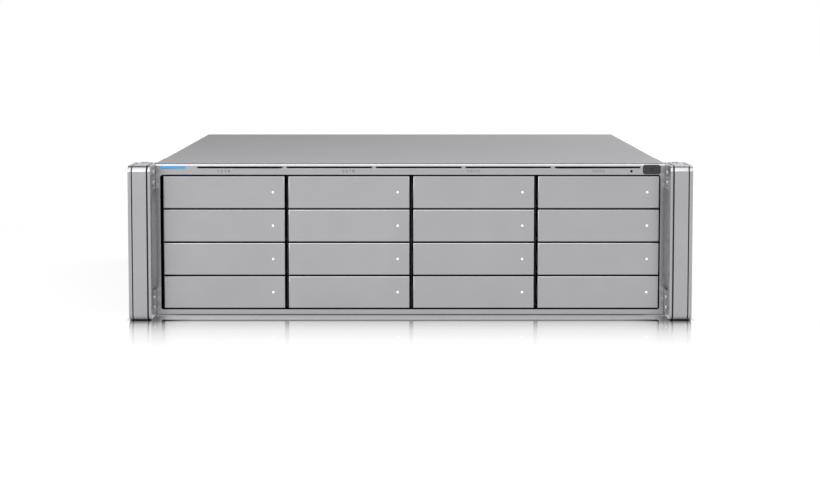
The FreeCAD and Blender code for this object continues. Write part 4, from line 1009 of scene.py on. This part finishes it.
for number in ("1", "2"):
    low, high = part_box(f"psu_{number}")
    rear = low.y + PSU_LENGTH
    flange = inlet_flange(f"inlet_flange_{number}", low + INLET_MIDDLE, rear)
    hand_over(flange, f"psu_{number}", BLACK)
    hub = Vector((low.x, rear + GUARD_LIFT, low.z)) + GUARD_MIDDLE
    guard = wire_guard(f"air_guard_{number}", hub)
    hand_over(guard, f"psu_{number}", SHELL)
    print(flange.name, guard.name)

# %% Network jack and optical cages
JACK_WIDTH = 15.5 * MM
JACK_MOUTH = Vector((11.8, 13, 8.2)) * MM
CAGE_MOUTH = Vector((13.8, 44, 9.0)) * MM
JACK_LIFT = 2.6 * MM
CAGE_LIFT = 0.6 * MM
CONTACTS = 8
CONTACT_PITCH = 1.02 * MM
CONTACT_WIDTH = 0.45 * MM
CONTACT_SETBACK = 2.5 * MM
CONTACT_THICKNESS = 0.5 * MM
CONTACT_ROOT = 0.7 * MM
CONTACT_LEAN = Vector((0, -5, -3.2)) * MM
CONTACT_TIP = Vector((0, -2.5, 0.6)) * MM
SHELL_EDGE = 0.3 * MM


def port_shell(name, low, high, mouth, lift):
    """A block with a mouth pushed in at the rear, its outer edges rounded."""
    made = block(name, low, high)
    middle = (low.x + high.x) / 2
    left, right = middle - mouth.x / 2, middle + mouth.x / 2
    floor_z, roof = low.z + lift, low.z + lift + mouth.z
    slice_at(made, 0, (left, right))
    slice_at(made, 2, (floor_z, roof))

    def opening(face):
        spot = centre(face)
        return face.normal.y > FACING and left < spot.x < right and floor_z < spot.z < roof

    pull(made, opening, (0, -mouth.y, 0))
    made.data.materials.append(SHELL)
    made.data.materials.append(BLACK)
    for face in made.data.polygons:
        spot = face.center
        within = left - TOUCH < spot.x < right + TOUCH and floor_z - TOUCH < spot.z < roof + TOUCH
        face.material_index = int(within and spot.y < high.y - TOUCH and spot.y > low.y + TOUCH)
    modify(made, "BEVEL", width=SHELL_EDGE, segments=2, limit_method="ANGLE", angle_limit=SHARP)
    return made


def jack_contacts(low, high):
    """Bent contact wires that lean inwards from the roof of the jack's mouth."""
    roof = low.z + JACK_LIFT + JACK_MOUTH.z
    root = roof - CONTACT_ROOT
    bend = root + CONTACT_LEAN.z
    rear = high.y - CONTACT_SETBACK
    middle = (low.x + high.x) / 2
    wires = []
    for index in range(CONTACTS):
        x = middle + (index - (CONTACTS - 1) / 2) * CONTACT_PITCH
        wire = block("contact", (x - CONTACT_WIDTH / 2, rear - CONTACT_THICKNESS, root),
                     (x + CONTACT_WIDTH / 2, rear, roof))
        pull(wire, lambda face: face.normal.z < -FACING, CONTACT_LEAN)
        pull(wire, lambda face: face.normal.z < -FACING and near(centre(face).z, bend), CONTACT_TIP)
        wires.append(wire)
    contacts = join("contacts", wires)
    contacts.data.materials.append(GOLD)
    return contacts


ports = []
for _, low, high in solids_of("network_ports"):
    jack = (high - low).x > JACK_WIDTH
    mouth, lift = (JACK_MOUTH, JACK_LIFT) if jack else (CAGE_MOUTH, CAGE_LIFT)
    ports.append(port_shell("port", low, high, mouth, lift))
    if jack:
        ports.append(jack_contacts(low, high))
port_set = hand_over(join("port_row", ports), "chassis")
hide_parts("network_ports")
print(port_set.name, len(port_set.data.polygons), "faces")

# %% [markdown]
# ## Camera and light
#
# The picture is taken from straight ahead, a little above, with a long lens. A large soft light hangs
# over the front edge, so that the rounded edges of the handles and the header catch it as white
# lines. A second one at the left of the camera lights the tray faces, and a third, behind the recorder
# at the right, lights its top. Together they are plain daylight, at which a colour shows as it is
# written.

# %% Camera
CAMERA_PLACE = (-0.00163, -2.19798, 0.25374)
CAMERA_TILT = math.radians(90 - 5.51)
CAMERA_PAN = math.radians(-0.04)
CAMERA_LENS = 98.55
SENSOR_WIDTH = 36
camera_data = bpy.data.cameras.new("camera")
camera_data.lens = CAMERA_LENS
camera_data.sensor_width = SENSOR_WIDTH
camera = bpy.data.objects.new("camera", camera_data)
camera.location = CAMERA_PLACE
camera.rotation_euler = (CAMERA_TILT, 0, CAMERA_PAN)
bpy.context.scene.collection.objects.link(camera)
bpy.context.scene.camera = camera
bpy.context.scene.view_settings.view_transform = "Standard"
print("camera", round((Vector(CAMERA_PLACE) - Vector((0, PANEL, 0))).length, 2), "m from the panel")


# %% Lights
def soft_light(name, place, target, size, power):
    """A rectangular lamp that faces a point."""
    data = bpy.data.lights.new(name, "AREA")
    data.shape = "RECTANGLE"
    data.size, data.size_y = size
    data.energy = power
    lamp = bpy.data.objects.new(name, data)
    lamp.location = place
    lamp.rotation_euler = (Vector(target) - Vector(place)).to_track_quat("-Z", "Y").to_euler()
    lamp.visible_camera = False
    bpy.context.scene.collection.objects.link(lamp)
    return lamp


soft_light("over_front", place=(-0.03, -0.82, 0.74), target=(0, -0.51, 0.1), size=(0.95, 1.18), power=7.2)
soft_light("front_left", place=(-1.1, -2.3, 0.9), target=(0, -0.25, 0.07), size=(1.2, 1.0), power=11)
soft_light("rear_right", place=(0.8, 0.7, 0.85), target=(0.1, 0, 0.13), size=(0.8, 0.8), power=11)
print(len(bpy.data.lights), "lights")

# %% [markdown]
# ## Surroundings
#
# Metal shows what stands round it. For mirrored rays the world is a studio with white walls that give
# way to a dim ceiling, and that ceiling is what makes the blasted front read as grey metal and not as
# white paint. It slopes down towards the rear, so that the tops of the handles, which mirror the rear,
# are no brighter than the front. The camera sees plain white, and as light on the recorder the world is
# much weaker. A Light Path node tells these rays apart. The floor uses the small helpers here as well.


# %% Shader sums
def combine(tree, operation, first, second):
    """A sum, product or the like of two outputs or numbers."""
    made = tree.nodes.new("ShaderNodeMath")
    made.operation = operation
    for socket, source in zip(made.inputs, (first, second)):
        if isinstance(source, (int, float)):
            socket.default_value = source
        else:
            tree.links.new(source, socket)
    return made.outputs["Value"]


def ray_share(tree, kinds):
    """One for rays of the named kinds, and nothing for the rest."""
    path = tree.nodes.new("ShaderNodeLightPath")
    value = path.outputs[kinds[0]]
    for other in kinds[1:]:
        value = combine(tree, "MAXIMUM", value, path.outputs[other])
    return value


def fade(tree, source, start, end, first, last):
    """A number that runs smoothly from first to last while another runs from start to end."""
    made = tree.nodes.new("ShaderNodeMapRange")
    made.interpolation_type = "SMOOTHSTEP"
    for socket, level in zip(("From Min", "From Max", "To Min", "To Max"), (start, end, first, last)):
        made.inputs[socket].default_value = level
    tree.links.new(source, made.inputs["Value"])
    return made.outputs["Result"]


def along(tree, axis, coordinates):
    """The place along X, Y or Z in the named texture coordinates."""
    split = tree.nodes.new("ShaderNodeSeparateXYZ")
    tree.links.new(spots(tree, coordinates), split.inputs["Vector"])
    return split.outputs[axis]


# %% Surroundings
WORLD_LIGHT = 0.3
CEILING = 0.2
CEILING_STARTS = 0.6
CEILING_FULL = 0.8
CEILING_SLOPE = 0.47
world = bpy.data.worlds.new("surroundings")
world.use_nodes = True
bpy.context.scene.world = world
sky = world.node_tree
rearward = combine(sky, "MAXIMUM", along(sky, "Y", "Generated"), 0)
lowered = combine(sky, "MULTIPLY", rearward, CEILING_SLOPE)
height = combine(sky, "ADD", along(sky, "Z", "Generated"), lowered)
walls = fade(sky, height, CEILING_STARTS, CEILING_FULL, 1.0, CEILING)
mirrored = combine(sky, "MULTIPLY", ray_share(sky, ["Is Glossy Ray"]), walls)
plain = ray_share(sky, ["Is Camera Ray", "Is Transmission Ray"])
shown = combine(sky, "MAXIMUM", mirrored, plain)
sky.links.new(combine(sky, "MAXIMUM", shown, WORLD_LIGHT), sky.nodes["Background"].inputs["Strength"])
sky.nodes["Background"].inputs["Color"].default_value = (1, 1, 1, 1)
print("surroundings with", len(sky.nodes), "nodes")

# %% [markdown]
# ## Floor
#
# The floor is a white sheet with a polished band in front of the recorder. It glows white for the eye
# and for what mirrors it, and is a darker paper for the lamps, so that it doesn't light the recorder
# from below. Where the recorder shuts out the light, an Ambient Occlusion node dims the sheet, which
# gives the dark line at the foot of the handles and under the sill. As on any polish, the mirror is
# strong for an eye close to the floor and fades for one above it, which Layer Weight measures.

# %% Floor sheet
FLOOR_SIZE = 30
FLOOR_DROP = 0.2 * MM
clear_selection()
bpy.ops.mesh.primitive_plane_add(size=FLOOR_SIZE, location=(0, 0, -FLOOR_DROP))
floor = apply_place(bpy.context.object)
floor.name = "floor"
print("floor", FLOOR_SIZE, "m wide")

# %% Floor shares
SILL_REACH = 0.015
FOOT_REACH = 0.004
SHEET_DIMS = 0.7
STEEP = 0.6
FLAT = 0.83
NEAR_GLOW = 0.86
FAR_GLOW = 1.0
GLOW_STARTS = 0.6
GLOW_FULL = 1.8
FRONT = cad_bounds[0].y
HANDLE_LEAD = (PANEL - FRONT) / 2
LEAD_FADE = 0.04
POLISH = [(FRONT - 0.24, 0.0), (FRONT - 0.174, 0.04), (FRONT - 0.119, 0.14), (FRONT - 0.059, 0.33),
          (FRONT - 0.0094, 0.66), (FRONT + 0.02, 1.0), (FRONT + 0.048, 1.0), (FRONT + 0.09, 0.0)]


def from_middle(tree):
    """How far a spot on the floor is from the recorder's middle plane."""
    return combine(tree, "ABSOLUTE", along(tree, "X", "Object"), 0)


def floor_polish(tree):
    """How much the floor mirrors, by its distance from the panel or, at the sides, from the handles."""
    lead = fade(tree, from_middle(tree), case_high.x - LEAD_FADE, case_high.x, 0.0, HANDLE_LEAD)
    behind = combine(tree, "ADD", along(tree, "Y", "Object"), lead)
    spread = tree.nodes.new("ShaderNodeMapRange")
    spread.inputs["From Min"].default_value = POLISH[0][0]
    spread.inputs["From Max"].default_value = POLISH[-1][0]
    ramp = tree.nodes.new("ShaderNodeValToRGB")
    stops = ramp.color_ramp.elements
    for spot, level in POLISH:
        share = (spot - POLISH[0][0]) / (POLISH[-1][0] - POLISH[0][0])
        stop = stops[0] if share == 0 else stops[len(stops) - 1] if share == 1 else stops.new(share)
        stop.color = (level, level, level, 1)
    tree.links.new(behind, spread.inputs["Value"])
    tree.links.new(spread.outputs["Result"], ramp.inputs["Fac"])
    return ramp.outputs["Color"]


def grazing(tree):
    """How flat the eye looks along the floor."""
    weight = tree.nodes.new("ShaderNodeLayerWeight")
    weight.inputs["Blend"].default_value = 0.5
    return fade(tree, weight.outputs["Facing"], STEEP, FLAT, 0.0, 1.0)


def floor_glow(tree):
    """How white the floor shows: less near the recorder, where the lamps reach it and shadows fall."""
    away = tree.nodes.new("ShaderNodeVectorMath")
    away.operation = "LENGTH"
    tree.links.new(spots(tree), away.inputs["Vector"])
    return fade(tree, away.outputs["Value"], GLOW_STARTS, GLOW_FULL, NEAR_GLOW, FAR_GLOW)


def contact_light(tree):
    """How much light still reaches the floor close to the sill or, at the sides, to the handles' feet."""
    shut = tree.nodes.new("ShaderNodeAmbientOcclusion")
    inner, outer = case_high.x - FOOT_REACH, case_high.x
    reach = fade(tree, from_middle(tree), inner, outer, SILL_REACH, FOOT_REACH)
    tree.links.new(reach, shut.inputs["Distance"])
    return shut.outputs["AO"]


# %% Floor finish
PAPER_GREY = (0.2, 0.2, 0.2, 1)
POLISH_ROUGHNESS = 0.03
floor_finish = bpy.data.materials.new("white_floor")
floor_finish.use_nodes = True
tree = floor_finish.node_tree
tree.nodes.remove(tree.nodes["Principled BSDF"])
contact = contact_light(tree)
shown = ray_share(tree, ["Is Camera Ray", "Is Glossy Ray", "Is Transmission Ray"])
paper = tree.nodes.new("ShaderNodeBsdfDiffuse")
paper.inputs["Color"].default_value = PAPER_GREY
glow = tree.nodes.new("ShaderNodeEmission")
lit_floor = combine(tree, "MULTIPLY", floor_glow(tree), combine(tree, "POWER", contact, SHEET_DIMS))
tree.links.new(combine(tree, "MULTIPLY", shown, lit_floor), glow.inputs["Strength"])
sheet = tree.nodes.new("ShaderNodeAddShader")
tree.links.new(paper.outputs["BSDF"], sheet.inputs[0])
tree.links.new(glow.outputs["Emission"], sheet.inputs[1])
gloss = tree.nodes.new("ShaderNodeBsdfGlossy")
gloss.inputs["Roughness"].default_value = POLISH_ROUGHNESS
tree.links.new(contact, gloss.inputs["Color"])
polish = combine(tree, "MULTIPLY", floor_polish(tree), grazing(tree))
polished = tree.nodes.new("ShaderNodeMixShader")
seen = ray_share(tree, ["Is Camera Ray"])
tree.links.new(combine(tree, "MULTIPLY", polish, seen), polished.inputs["Fac"])
tree.links.new(sheet.outputs["Shader"], polished.inputs[1])
tree.links.new(gloss.outputs["BSDF"], polished.inputs[2])
tree.links.new(polished.outputs["Shader"], tree.nodes["Material Output"].inputs["Surface"])
floor.data.materials.append(floor_finish)
print("floor with", len(tree.nodes), "nodes")
